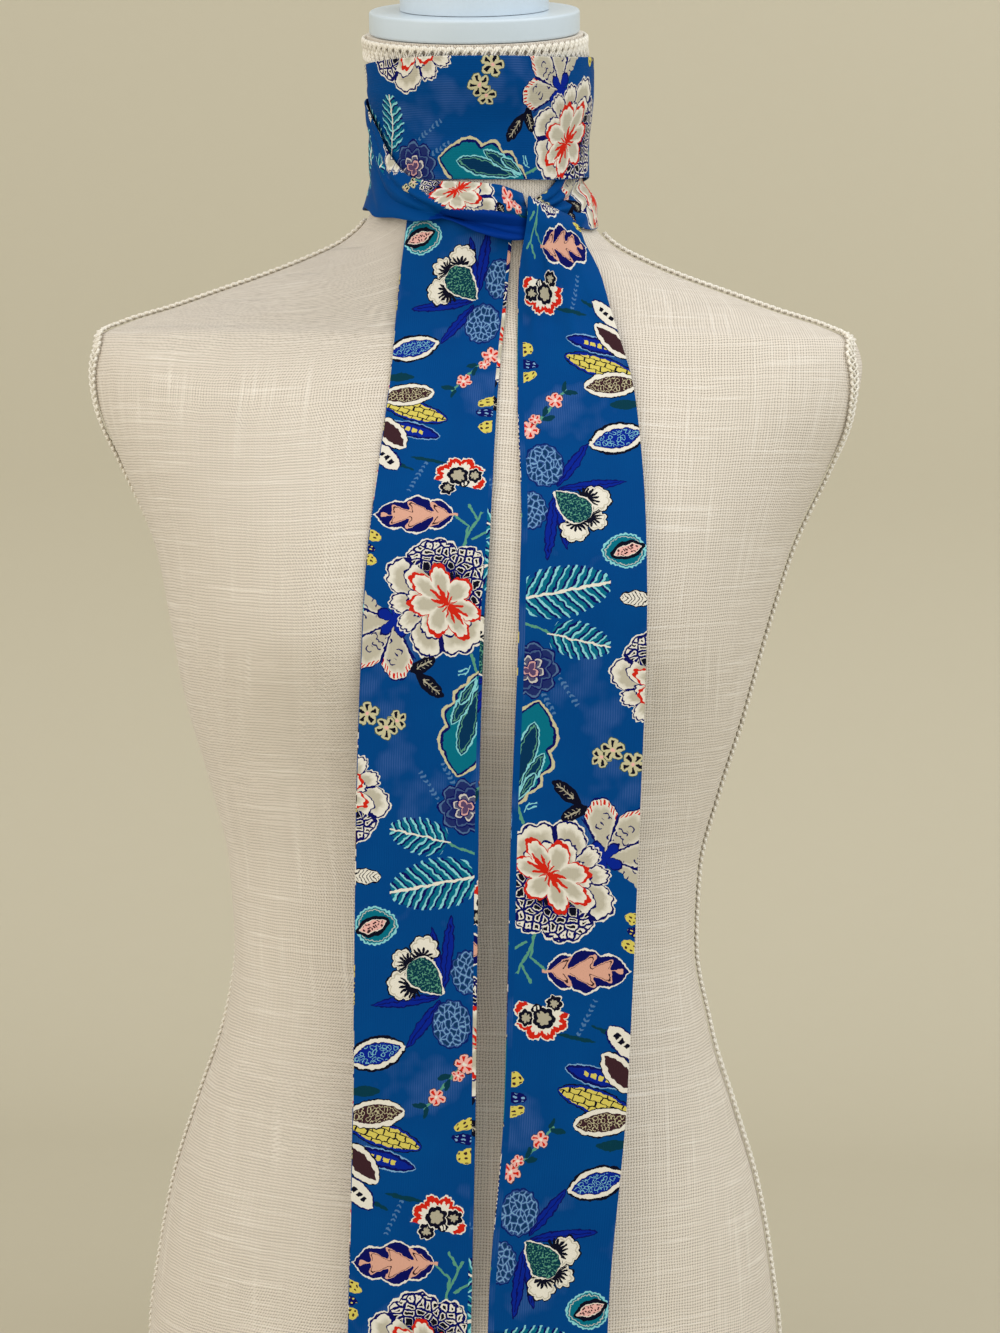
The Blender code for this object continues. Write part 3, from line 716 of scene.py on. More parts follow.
def turned(name, node, profile, lift, material):
    """Carry a profile of radius and height round the tilted axis."""
    turn = (np.arange(CAP_AROUND) + 0.5) * 2.0 * math.pi / CAP_AROUND
    radius = profile[:, :1]
    x = radius * np.sin(turn)
    y = -radius * np.cos(turn)
    z = np.broadcast_to(profile[:, 1:] + lift, x.shape)
    cos_tilt, sin_tilt = math.cos(NECK_TILT), math.sin(NECK_TILT)
    centre_x = float(form_value("side", np.array(NECK_TOP)))
    centre_y = float(form_value("centre", np.array(NECK_TOP)))
    points = np.stack([centre_x + x, centre_y + y * cos_tilt - z * sin_tilt,
                       NECK_TOP + y * sin_tilt + z * cos_tilt], axis=-1)
    piece = make_piece(name, points, skin_faces(len(points), CAP_AROUND), material, sharp=35)
    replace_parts(piece, node)


CAP_MATERIAL = cap_material()
disc = np.concatenate([[[CAP_RADIUS - CAP_INSET, 0.0]],
                       arc(CAP_RADIUS - CAP_EDGE, CAP_EDGE, CAP_EDGE, -90, 0, 8),
                       arc(CAP_RADIUS - CAP_EDGE, CAP_THICK - CAP_EDGE, CAP_EDGE, 0, 90, 8),
                       [[CAP_INSET, CAP_THICK]]])
turned("cap_disc", "neck_cap", disc, TRIM_GAP, CAP_MATERIAL)
knob = np.concatenate([[[KNOB_RADIUS - KNOB_INSET, 0.0], [KNOB_RADIUS, 0.0]],
                       arc(KNOB_RADIUS - KNOB_ROUND, KNOB_HEIGHT - KNOB_ROUND, KNOB_ROUND, 0, 90, 14)])
turned("cap_knob", "neck_knob", knob, TRIM_GAP + CAP_THICK + TRIM_GAP, CAP_MATERIAL)

# %% [markdown]
# The print has a bright blue ground with flowers, leaves and paisleys in cream, red, navy and teal. It
# repeats along the strip. An image would be quickest, but here it is drawn with sums: every motif has its own
# place on the cloth in millimetres, and is an outline worked out from the distance and the angle to that
# place. One repeat is laid out once, and a wrap brings it round again and again along the scarf.

# %% Print inks
REPEAT = 357.0
CLOTH_WIDTH = 58.0
GROUND = srgb(0, 70, 134)
SHADED_GROUND = srgb(0, 44, 128)
CREAM = srgb(220, 216, 204)
STONE = srgb(168, 162, 142)
NAVY = srgb(8, 14, 88)
BLACK = srgb(10, 12, 30)
RED = srgb(196, 36, 20)
TEAL = srgb(4, 104, 126)
PALE_TEAL = srgb(130, 200, 206)
DEEP_TEAL = srgb(4, 48, 84)
KHAKI = srgb(190, 184, 148)
OLIVE = srgb(70, 88, 62)
YELLOW = srgb(204, 190, 90)
PINK = srgb(224, 172, 164)
PEACH = srgb(208, 158, 138)
BROWN = srgb(58, 34, 40)
GREEN = srgb(84, 146, 122)
DARK_GREEN = srgb(6, 54, 70)
ULTRAMARINE = srgb(6, 34, 138)
SKY = srgb(120, 164, 200)
LILAC = srgb(62, 96, 158)
WIDE = 400.0
PAINTED_SHADE_FROM = 90.0


def spot(cloth, across, along, turn=0.0, length=1.0, width=1.0):
    """Cloth seen from one motif: moved to its place, wrapped to the nearest repeat, turned and sized."""
    moved = cloth.vector("SUBTRACT", (across, along, 0.0))
    wrapped = moved.vector("WRAP", (WIDE, REPEAT / 2, 1.0), (-WIDE, -REPEAT / 2, -1.0))
    fitted = wrapped.node("ShaderNodeMapping", {"vector_type": "TEXTURE"},
                          {"Vector": wrapped, "Rotation": (0.0, 0.0, turn), "Scale": (length, width, 1.0)})
    x = fitted.vector("DOT_PRODUCT", (1.0, 0.0, 0.0)).output(1)
    return fitted, x, fitted.vector("DOT_PRODUCT", (0.0, 1.0, 0.0)).output(1)


def polar(place, x, y):
    """Distance from the motif's middle and the angle round it."""
    return place.vector("LENGTH").output(1), y.math("ARCTAN2", x)


def cells(place, scale, edges=False):
    """Flat cells round scattered points: how far off the nearest point is, or the nearest border."""
    feature = "DISTANCE_TO_EDGE" if edges else "F1"
    return place.node("ShaderNodeTexVoronoi", {"voronoi_dimensions": "2D", "feature": feature},
                      {"Vector": place, "Scale": scale})


def petals(angle, count, phase=0.0):
    """Scallops: the size of a half wave, one hump for each petal round the flower."""
    return abs((angle * (count / 2.0) + phase).sin())


def leaf_depth(t, q, half_width, fullness=0.6, lean=1.0):
    """Millimetres inside a leaf's edge: its half width is a hump of 4t(1 - t), with nothing past its ends."""
    along = t if lean == 1.0 else t.most(0.0) ** lean
    hump = ((along * (1.0 - along)) * 4.0).most(0.0) ** fullness
    return (hump - abs(q) - (hump < 0.02) * 9.0) * half_width


def straight_run(start, end):
    """Length and direction of the straight run between two places."""
    over, up = end[0] - start[0], end[1] - start[1]
    return math.hypot(over, up), math.atan2(up, over)


def leaf_place(cloth, base, tip, half_width):
    """Cloth seen from a leaf: t runs from its base 0 to its tip 1, q from its midrib 0 to its side 1."""
    reach, turn = straight_run(base, tip)
    _, t, q = spot(cloth, base[0], base[1], turn, reach, half_width)
    return t, q


print("one repeat is", REPEAT, "mm long on a strip", CLOTH_WIDTH, "mm wide")

# %% [markdown]
# The big peony is the main flower. From the outside in it has two rows of frilled cream petals drawn in
# navy, a crowd of small seeded petals on one side, a row edged in red round a second middle, and a red burst.


# %% Flowers
def petal_row(under, far, angle, reach, row, line, thin, more=0.0):
    """A petal is a half wave in the angle with four short waves on its rim; its inside darkens to stone."""
    count, depth, frill, phase = row
    hump = petals(angle, count, phase)
    edge = far - hump * depth - petals(angle, count * 4.0, phase * 4.0) * frill
    colour = lay(under, line, edge < reach)
    inside = reach - thin - hump * more if more else reach - thin
    colour = lay(colour, CREAM, edge < inside)
    dusk = ((reach - thin - 1.6 - edge) * 0.32).most(0.0).least(0.8)
    colour = lay(colour, STONE, dusk * (hump * 1.6).least(1.0))
    return colour, hump, edge


PEONY_ROW = (9.0, 3.8, 1.1, 0.3)
PEONY_INNER_ROW = (8.0, 3.4, 1.0, 1.1)
PEONY_HEART_ROW = (7.0, 5.6, 0.8, 0.5)
PEONY_HEART_SHAPE = (0.75, 1.36, 0.98)
ROSE_ROWS = ((10.4, 9.0, SKY, 0.35), (7.4, 8.0, SKY, 0.25), (4.6, 6.0, CREAM, 0.75), (2.2, 3.0, PINK, 0.8))


def peony(cloth, under, across, along, turn, size):
    """Rows of petals by distance and bent angle, cells on one side, a burst round a shifted middle."""
    place, x, y = spot(cloth, across, along, turn, size, size)
    far, angle = polar(place, x, y)
    bent = angle + (angle * 2.0 + 0.8).sin() * 0.2
    far = far + ((angle - 1.11).sin() - 0.5).most(0.0) * 15.0
    colour, hump, edge = petal_row(under, far - 0.8, bent, 24.2, PEONY_ROW, CREAM, 0.4)
    colour, hump, edge = petal_row(colour, far, bent, 24.2, PEONY_ROW, NAVY, 1.0)
    colour = lay(colour, NAVY, (hump < 0.16) * (far > 15.0) * (edge < 24.0))
    outer = edge
    colour, hump, edge = petal_row(colour, far, bent, 16.4, PEONY_INNER_ROW, NAVY, 0.9)
    colour = lay(colour, NAVY, (hump < 0.14) * (far > 9.0) * (edge < 16.0))
    seeded = ((x * 0.62 - y * 0.78) > 5.0) * (outer < 23.4)
    seeds = cells(place, 0.25, edges=True)
    colour = lay(colour, NAVY, seeded)
    colour = lay(colour, CREAM, seeded * (seeds > 0.13))
    colour = lay(colour, BLACK, seeded * (seeds > 0.06 + (far - 8.0) * 0.016))
    heart, x, y = spot(place, 3.2, 1.8, *PEONY_HEART_SHAPE)
    far, angle = polar(heart, x, y)
    colour, hump, edge = petal_row(colour, far, angle, 9.2, PEONY_HEART_ROW, RED, 0.7, 1.0)
    burst, x, y = spot(place, 5.5, 3.0, *PEONY_HEART_SHAPE)
    far, angle = polar(burst, x, y)
    return lay(colour, RED, far - (angle * 13.0).sin() * 2.2 - (angle * 2.0 + 1.57).sin() * 2.2 < 4.2)


def fan_flower(cloth, under, across, along, turn, size):
    """Petals that open to one side of a navy calyx, each edged with short red strokes."""
    place, x, y = spot(cloth, across, along, turn, size, size)
    far, angle = polar(place, x, y)
    away = far + (angle < -0.82) * 90.0 + (angle > 1.98) * 90.0
    colour, hump, edge = petal_row(under, away, angle, 15.6, (8.0, 6.2, 0.9, 0.0), NAVY, 0.6)
    strokes = (angle * 96.0).sin() > 0.1
    colour = lay(colour, RED, strokes * (edge < 14.8) * (edge > 12.8))
    colour = lay(colour, NAVY, (hump < 0.17) * (edge < 15.0) * (far > 3.0))
    curl = abs(cells(place, 0.2) - 0.24) < 0.05
    colour = lay(colour, NAVY, curl * (edge < 11.0) * (far > 7.0) * ((x * 2.0 + y).sin() > -0.3))
    calyx = far - petals(angle, 5.0, 0.4) * 5.4
    colour = lay(colour, NAVY, calyx < 2.2)
    return lay(colour, ULTRAMARINE, calyx < 1.4)


def blob(cloth, under, across, along, reach, lobes=7.0):
    """Dark scalloped disc with a stone middle."""
    place, x, y = spot(cloth, across, along)
    far, angle = polar(place, x, y)
    edge = far - petals(angle, lobes) * 0.9
    colour = lay(under, CREAM, edge < reach + 0.5)
    colour = lay(colour, BLACK, edge < reach)
    return lay(colour, STONE, edge < reach - 1.9)


def small_flower(cloth, under, across, along):
    """Half-round flower: a crown of red lobes, cream inside, three dark hearts and a barred eye."""
    place, x, y = spot(cloth, across + 0.8, along + 1.8)
    far, angle = polar(place, x, y)
    away = far + ((y - x * 0.25) > 3.4) * 90.0
    edge = away - petals(angle, 9.0, 0.7) * 2.2 - petals(angle, 36.0, 2.8) * 0.5
    colour = lay(under, CREAM, edge < 10.9)
    colour = lay(colour, RED, (edge < 10.2) * (edge > 6.6 + petals(angle, 27.0) * 1.3))
    for dx, dy, reach in ((8.2, -0.4, 3.2), (-4.6, 6.6, 3.0), (0.0, -0.4, 4.4)):
        colour = blob(cloth, colour, across + dx, along + dy, reach)
    eye, x, y = spot(cloth, across + 3.4, along + 4.4, -0.3, 2.5, 2.0)
    bars = abs((x * 5.2).sin()) > 0.6
    colour = lay(colour, BLACK, eye.vector("LENGTH").output(1) < 1.0)
    return lay(colour, CREAM, bars * (abs(x) < 0.7) * (abs(y) < 0.6))


def blossom(cloth, under, across, along, turn, size, petal_colour, rim, mark, centre):
    """Five round petals with a mark along each and a dot in the middle."""
    place, x, y = spot(cloth, across, along, turn, size, size)
    far, angle = polar(place, x, y)
    hump = petals(angle, 5.0)
    edge = far - (hump ** 0.5) * 0.44
    colour = lay(under, rim, edge < 0.60)
    colour = lay(colour, petal_colour, edge < 0.53)
    colour = lay(colour, mark, (hump > 0.84) * (far > 0.28) * (far < 0.78))
    return lay(colour, centre, far < 0.17)


def navy_rose(cloth, under, across, along, turn, size):
    """Layers of blue petals with dark edges, a few pale ones in the heart."""
    place, x, y = spot(cloth, across, along, turn, size, size)
    far, angle = polar(place, x, y)
    colour = under
    for reach, count, shade, share in ROSE_ROWS:
        edge = far - petals(angle, count, reach) * 2.2
        colour = lay(colour, NAVY, edge < reach)
        colour = lay(colour, shade, (edge < reach - 0.7) * share)
        colour = lay(colour, NAVY, (edge < reach - 1.5) * 0.85)
    return colour


print("flower kinds: 5")

# %% [markdown]
# Leaves share one outline, a hump along their length, and differ in their borders and veins.


# %% Leaves
def bordered_leaf(cloth, under, base, tip, half_width, bands, fullness=0.6, lean=1.0):
    """A leaf as nested bands: each colour fills what lies deeper inside the edge than its own depth."""
    t, q = leaf_place(cloth, base, tip, half_width)
    depth = leaf_depth(t, q, half_width, fullness, lean)
    colour = under
    for shade, inside in bands:
        colour = lay(colour, shade, depth > inside)
    return colour, t, q, depth


def oak_leaf(cloth, under, base, tip, half_width):
    """Lobed navy leaf with a white rim and a peach heart of slanting fingers."""
    t, q = leaf_place(cloth, base, tip, half_width)
    reach, _ = straight_run(base, tip)
    lobes = abs((t * (math.pi * 3.0) + 0.3).sin()) * 2.4
    depth = leaf_depth(t, q, half_width, 0.8, 0.85) + lobes - 2.0
    colour = lay(under, CREAM, depth > -0.9)
    colour = lay(colour, NAVY, depth > 0.0)
    finger = ((t * reach - abs(q) * half_width * 1.1) * (2.0 * math.pi / 10.5) - 0.6).sin()
    heart = leaf_depth(t * 1.16 - 0.04, q * 1.5, half_width * 0.66, 0.8) + finger * 2.6 - 0.8
    colour = lay(colour, PEACH, heart > 0.2)
    colour = lay(colour, BROWN, (heart > 1.3) * (heart < 1.9) * (abs(q) > 0.12))
    return lay(colour, PEACH, (abs(q) < 0.08) * (t > -0.04) * (t < 0.62))


def fern(cloth, under, base, tip, half_width, pitch):
    """Feather of slanting ribs: pale lines over teal, with a dark line behind each."""
    t, q = leaf_place(cloth, base, tip, half_width)
    reach, _ = straight_run(base, tip)
    depth = leaf_depth(t, q, half_width, 0.5, 0.75)
    rib = (t * reach - abs(q) * half_width * 0.75) * (2.0 * math.pi / pitch)
    colour = lay(under, TEAL, (depth > 0.6) * 0.85)
    colour = lay(colour, NAVY, (depth > -0.2) * ((rib + 1.5).sin() > 0.55))
    colour = lay(colour, PALE_TEAL, (depth > -0.7) * (rib.sin() > 0.72))
    return lay(colour, CREAM, (abs(q) < 0.055) * (t > -0.06) * (t < 1.0))


def paisley(cloth, under, base, tip, half_width):
    """Broad pointed leaf: stone border of scallops, navy line, teal inside with loops from its base."""
    t, q = leaf_place(cloth, base, tip, half_width)
    scallops = abs((t * (7.0 - t * 3.0) * math.pi).sin()) - 0.75
    depth = leaf_depth(t, q, half_width, 0.72, 1.12) + scallops * (t * (1.0 - t)).most(0.0) * 14.0
    colour = lay(under, KHAKI, depth > 0.0)
    colour = lay(colour, NAVY, depth > 1.5)
    colour = lay(colour, TEAL, depth > 2.7)
    for foot, point, width in LOOPS:
        bands = ((PALE_TEAL, 0.0), (DEEP_TEAL, 0.7), (GREEN, 1.4), (DEEP_TEAL, 1.8))
        colour, t, q, depth = bordered_leaf(cloth, colour, foot, point, width, bands, 0.7, 1.5)
    return colour


def eye_leaf(cloth, under, across, along, turn):
    """Rounded teal eye with a frilled pale rim, a black almond and a speckled pink middle."""
    place, x, y = spot(cloth, across, along, turn)
    far, angle = polar(place, x, y)
    edge = far - petals(angle, 24.0) * 0.5 - ((angle.math("COSINE")).most(0.0) ** 6.0) * 2.2
    colour = lay(under, PALE_TEAL, edge < 8.9)
    colour = lay(colour, TEAL, edge < 8.0)
    colour = lay(colour, CREAM, (edge < 7.3) * (edge > 6.8) * 0.6)
    t, q = leaf_place(cloth, (across - 8.6, along + 3.4), (across + 7.4, along - 3.0), 4.9)
    depth = leaf_depth(t, q, 4.9, 0.8)
    colour = lay(colour, BLACK, depth > 0.0)
    colour = lay(colour, CREAM, depth > 2.0)
    colour = lay(colour, PINK, depth > 2.35)
    return lay(colour, BROWN, (depth > 2.5) * (cells(cloth, 0.75) < 0.32))


print("leaf kinds: 5")

# %% [markdown]
# A seed pod opens at the foot of four long blades: a stippled green dome under three white scallops, each
# with a dark fan. Beside it hang two pale seed heads, each covered in small ovals.


# %% Pods and seed heads
def pod_lobe(cloth, under, across, along, reach, foot):
    """Scalloped white disc with a dark hand of fingers that opens from its foot on the dome."""
    place, x, y = spot(cloth, across, along)
    far, angle = polar(place, x, y)
    edge = far - petals(angle, 8.0, 0.5) * 1.2
    colour = lay(under, BLACK, edge < reach)
    colour = lay(colour, CREAM, edge < reach - 0.7)
    colour = lay(colour, STONE, (abs(edge - reach + 1.7) < 0.35) * 0.7)
    place, x, y = spot(cloth, foot[0], foot[1])
    far, angle = polar(place, x, y)
    return lay(colour, BLACK, (far - petals(angle, 16.0) * 3.0) < reach * 0.52)


POD_LOBES = (
    ((-19.0, -16.3), 5.0, (-16.2, -14.6)),
    ((-9.2, -21.4), 6.4, (-10.6, -16.4)),
    ((-19.4, -4.4), 6.8, (-14.6, -4.6)),
)


def seed_pod(cloth, under, across, along):
    """Three lobes behind a stippled dome that narrows to the foot."""
    colour = under
    for lobe, reach, foot in POD_LOBES:
        colour = pod_lobe(cloth, colour, across + lobe[0], along + lobe[1], reach,
                          (across + foot[0], along + foot[1]))
    tip = (across - 15.4, along - 15.6)
    bands = ((CREAM, -0.7), (DARK_GREEN, 0.1))
    colour, t, q, depth = bordered_leaf(cloth, colour, (across, along), tip, 7.2, bands, 0.55, 1.75)
    return lay(colour, GREEN, (depth > 0.5) * (cells(cloth, 1.1) > 0.56))


def seed_head(cloth, under, across, along, half_width, half_height):
    """Oval head: small ovals in pale lines, laid like scales."""
    place, x, y = spot(cloth, across, along, 0.0, half_width, half_height)
    far, angle = polar(place, x, y)
    edge = far - petals(angle, 13.0) * 0.07
    ovals = cells(cloth.vector("MULTIPLY", (0.42, 0.30, 1.0)), 1.0, edges=True)
    colour = lay(under, NAVY, (edge < 1.02) * 0.8)
    colour = lay(colour, LILAC, (edge < 0.95) * 0.6)
    colour = lay(colour, DEEP_TEAL, (edge < 0.9) * (ovals > 0.2) * 0.9)
    return lay(colour, SKY, (edge < 0.92) * (ovals < 0.075) * 0.85)


print("lobes of the pod:", len(POD_LOBES))

# %% [markdown]
# The layout is a set of short tables, in millimetres across the strip and along the repeat. Leaves give the
# place of their base and of their tip.

# %% Layout of one repeat
REGIONS = 3
REGION_MARGIN = 5.0
BLOSSOMS = ((18.4, 239.6, 0.1, 4.9), (4.2, 236.6, 0.3, 5.8), (13.4, 243.2, 0.9, 5.6))
PINK_BLOSSOMS = ((52.6, 44.0, 0.2, 5.2), (39.6, 60.0, 0.9, 4.4), (49.5, 49.5, 0.5, 3.2))
BLADES = (
    ((42.1, 367.0), (45.6, 331.0), 2.8),
    ((40.8, 367.0), (36.4, 336.5), 2.5),
    ((40.5, 369.5), (8.0, 374.0), 2.6),
    ((41.0, 371.0), (25.0, 394.0), 2.6),
)
SPRIG_LEAVES = (
    ((46.0, 49.5), (40.0, 51.0), 1.3),
    ((45.5, 51.0), (44.0, 56.5), 1.3),
    ((35.5, 64.5), (28.0, 64.0), 1.3),
    ((35.5, 65.0), (33.5, 70.0), 1.2),
    ((16.0, 106.5), (34.0, 110.0), 1.1),
    ((-2.0, 58.5), (13.0, 57.5), 2.6),
    ((9.0, 110.0), (18.0, 114.5), 0.9),
)
STEMS = (
    ((40.0, 139.5), (47.5, 146.0)),
    ((47.5, 146.0), (46.0, 157.0)),
    ((46.0, 157.0), (36.0, 164.0)),
    ((46.5, 153.0), (53.5, 138.0)),
    ((47.0, 134.0), (51.5, 142.0)),
    ((50.0, 153.0), (60.0, 146.0)),
    ((52.0, 43.0), (34.0, 66.0)),
    ((56.4, 219.0), (52.4, 208.5)),
    ((44.0, 297.0), (58.0, 302.0)),
)
SPRAYS = (
    ((40.5, 259.5), (49.0, 274.0)),
    ((30.0, 263.5), (42.0, 281.0)),
    ((17.0, 126.0), (25.0, 108.0)),
)
FERNS = (
    ((43.0, 296.3), (16.2, 290.5), 8.0, 4.0),
    ((56.0, 312.3), (16.4, 320.5), 11.6, 4.4),
)
LOOPS = (
    ((56.8, 221.0), (48.6, 255.5), 4.6),
    ((56.0, 219.5), (44.2, 241.0), 3.2),
    ((55.8, 218.0), (47.6, 231.8), 2.4),
)
TICKS = (
    ((46.9, 215.8), (50.6, 215.0)),
    ((46.8, 217.6), (50.2, 217.3)),
    ((50.2, 218.0), (52.4, 213.4)),
)
LEAFLETS = (
    ((48.0, 74.5), (60.0, 70.5), 2.6, YELLOW, BROWN),
    ((47.0, 79.0), (60.0, 80.0), 2.6, NAVY, SKY),
    ((49.0, 88.5), (60.0, 87.0), 3.6, YELLOW, BROWN),
    ((-3.0, 149.0), (6.0, 154.0), 2.8, YELLOW, BROWN),
    ((-3.0, 157.0), (4.0, 159.5), 2.4, NAVY, YELLOW),
    ((-3.0, 163.5), (5.0, 165.5), 2.8, YELLOW, BROWN),
)


def segment(cloth, under, start, end, half_width, colour):
    """A drawn stem: everything nearer than the half width to a straight run between two places."""
    reach, turn = straight_run(start, end)
    _, x, y = spot(cloth, start[0], start[1], turn)
    return lay(under, colour, (abs(y) < half_width) * (x > -half_width) * (x < reach + half_width))


def near(region, first, last=None, reach=0.0):
    """Whether what is drawn between two places along the repeat touches one region of it."""
    last = first if last is None else last
    middle = (region + 0.5) * REPEAT / REGIONS
    gap = abs(((first + last) / 2 - middle + REPEAT / 2) % REPEAT - REPEAT / 2)
    return gap < REPEAT / REGIONS / 2 + abs(last - first) / 2 + reach + REGION_MARGIN


def far_leaves(cloth, colour, region):
    """What lies lowest in the print: stems, sprigs, ferns and blades."""
    for start, end in STEMS:
        if near(region, start[1], end[1]):
            colour = segment(cloth, colour, start, end, 0.6, GREEN)
    for start, end in SPRAYS:
        if near(region, start[1], end[1]):
            reach, turn = straight_run(start, end)
            _, x, y = spot(cloth, start[0], start[1], turn)
            wave = (x * 2.6 + abs(y) * 1.4).sin() > 0.25
            colour = lay(colour, SKY, wave * (abs(y) < 1.1) * (x > 0.0) * (x < reach) * 0.35)
    for base, tip, half_width in SPRIG_LEAVES:
        if near(region, base[1], tip[1], half_width):
            colour, t, q, depth = bordered_leaf(cloth, colour, base, tip, half_width, ((DARK_GREEN, 0.0),))
    for base, tip, half_width in BLADES:
        if near(region, base[1], tip[1], half_width):
            bands = ((NAVY, -0.1), (ULTRAMARINE, 0.5))
            colour, t, q, depth = bordered_leaf(cloth, colour, base, tip, half_width, bands, 0.7)
            colour = lay(colour, NAVY, (abs(q) < 0.10) * (t > 0.05) * (t < 0.9))
    for base, tip, half_width, pitch in FERNS:
        if near(region, base[1], tip[1], half_width):
            colour = fern(cloth, colour, base, tip, half_width, pitch)
    return colour


def edge_cluster(cloth, colour):
    """The cluster of striped and bricked leaves at the edge, and the single blue leaf."""
    colour, t, q, depth = bordered_leaf(cloth, colour, (-3.0, 73.0), (33.0, 84.5), 6.2,
                                        ((BLACK, 0.0), (ULTRAMARINE, 0.5), (YELLOW, 1.5)))
    rows = abs((q * 7.0).sin()) < 0.25
    bricks = abs((t * 22.0 + (q * 2.2).math("FLOOR") * 1.3).sin()) < 0.22
    colour = lay(colour, BLACK, (depth > 1.5) * rows.most(bricks))
    colour, t, q, depth = bordered_leaf(cloth, colour, (-3.0, 70.5), (24.5, 67.0), 6.8,
                                        ((BLACK, -0.4), (CREAM, 0.2), (BROWN, 2.3)), 0.55)
    curls = cells(cloth, 0.5)
    colour = lay(colour, KHAKI, (depth > 2.8) * (abs(curls - 0.42) < 0.07))
    colour, t, q, depth = bordered_leaf(cloth, colour, (0.0, 86.0), (30.0, 94.5), 4.6,
                                        ((SKY, 0.0), (NAVY, 0.5), (ULTRAMARINE, 1.6)))
    colour = lay(colour, YELLOW, (abs(q) < 0.24) * (abs((t * 26.0).sin()) > 0.45) * (t > 0.12) * (t < 0.72))
    colour, t, q, depth = bordered_leaf(cloth, colour, (-4.0, 83.0), (12.5, 101.5), 6.4,
                                        ((BLACK, -0.4), (CREAM, 0.2), (BROWN, 2.6)))
    colour, t, q, depth = bordered_leaf(cloth, colour, (-4.0, 99.0), (10.5, 114.0), 5.0,
                                        ((NAVY, -0.4), (CREAM, 0.4)))
    colour = lay(colour, BLACK, (abs(q) < 0.26) * (abs((t * 20.0).sin()) > 0.5) * (t > 0.3) * (t < 0.8))
    colour, t, q, depth = bordered_leaf(cloth, colour, (-3.0, 44.0), (24.5, 36.0), 7.2,
                                        ((BLACK, -1.1), (CREAM, 0.2), (NAVY, 2.2), (ULTRAMARINE, 2.6)), 0.75)
    return lay(colour, PALE_TEAL, (depth > 3.0) * (abs(curls - 0.40) < 0.07) * 0.8)


def white_leaf(cloth, colour, base, tip, half_width):
    """Small white leaf with dark chevrons."""
    colour, t, q, depth = bordered_leaf(cloth, colour, base, tip, half_width, ((BLACK, -0.3), (CREAM, 0.3)))
    return lay(colour, BLACK, (depth > 0.7) * (abs(((t * 8.0 - abs(q) * 1.6) * math.pi).sin()) < 0.4))


def dark_leaf(cloth, colour, base, tip, half_width):
    """Black leaf with a broken pale vein."""
    colour, t, q, depth = bordered_leaf(cloth, colour, base, tip, half_width, ((BLACK, 0.0),))
    vein = (abs(q) < 0.09).most(abs(((t * 7.0 - abs(q) * 1.4) * math.pi).sin()) < 0.22)
    return lay(colour, STONE, vein * (t > 0.25) * (t < 0.85) * (abs(q) < 0.45))


MOTIFS = (
    (36.0, 114.0, 8.0, edge_cluster, ()),
    (313.0, 313.0, 5.0, white_leaf, ((-2.0, 312.6), (12.5, 313.5), 3.6)),
    (273.0, 273.0, 28.0, peony, (-8.0, 273.0, 2.9, 0.9)),
    (279.6, 279.6, 15.0, navy_rose, (52.0, 279.6, 0.2, 1.08)),
    (215.5, 265.5, 6.0, paisley, ((57.6, 215.5), (47.4, 265.5), 13.6)),
    (336.4, 336.4, 14.0, eye_leaf, (9.4, 336.4, -0.12)),
    (357.5, 357.5, 12.0, seed_head, (53.0, 357.5, 7.0, 10.0)),
    (382.0, 382.0, 13.0, seed_head, (46.4, 382.0, 9.0, 11.0)),
    (340.0, 374.0, 4.0, seed_pod, (42.2, 368.6)),
    (139.8, 139.8, 13.0, oak_leaf, ((40.3, 139.4), (0.6, 140.2), 9.6)),
    (117.6, 117.6, 16.0, small_flower, (40.6, 117.6)),
    (192.6, 192.6, 31.0, fan_flower, (15.6, 192.6, math.radians(107.0), 1.28)),
    (182.4, 182.4, 37.0, peony, (35.0, 182.4, 0.0, 1.02)),
    (216.9, 210.4, 4.0, dark_leaf, ((23.8, 216.9), (35.4, 210.4), 3.2)),
    (217.4, 228.6, 4.0, dark_leaf, ((26.8, 217.4), (40.0, 228.6), 3.4)),
)


def near_motifs(cloth, colour, region):
    """What lies on top: the motifs of the table, then ticks, leaflets and blossoms."""
    for first, last, reach, draw, values in MOTIFS:
        if near(region, first, last, reach):
            colour = draw(cloth, colour, *values)
    for start, end in TICKS:
        if near(region, start[1], end[1]):
            colour = segment(cloth, colour, start, end, 0.32, PALE_TEAL)
    for base, tip, half_width, body, mark in LEAFLETS:
        if near(region, base[1], tip[1], half_width):
            colour, t, q, depth = bordered_leaf(cloth, colour, base, tip, half_width, ((body, 0.0),))
            colour = lay(colour, mark, (depth > 0.4) * (abs((t * 11.0).sin() * (q * 4.5 + 0.7).sin()) > 0.72))
    for blossoms, body, rim, mark, centre in ((BLOSSOMS, KHAKI, OLIVE, BLACK, PINK),
                                              (PINK_BLOSSOMS, PINK, BROWN, RED, CREAM)):
        for across, along, turn, size in blossoms:
            if near(region, along, along, size):
                colour = blossom(cloth, colour, across, along, turn, size, body, rim, mark, centre)
    return colour


print("placed motifs:", len(MOTIFS) + len(BLOSSOMS) + len(PINK_BLOSSOMS) + len(BLADES) + len(LEAFLETS))
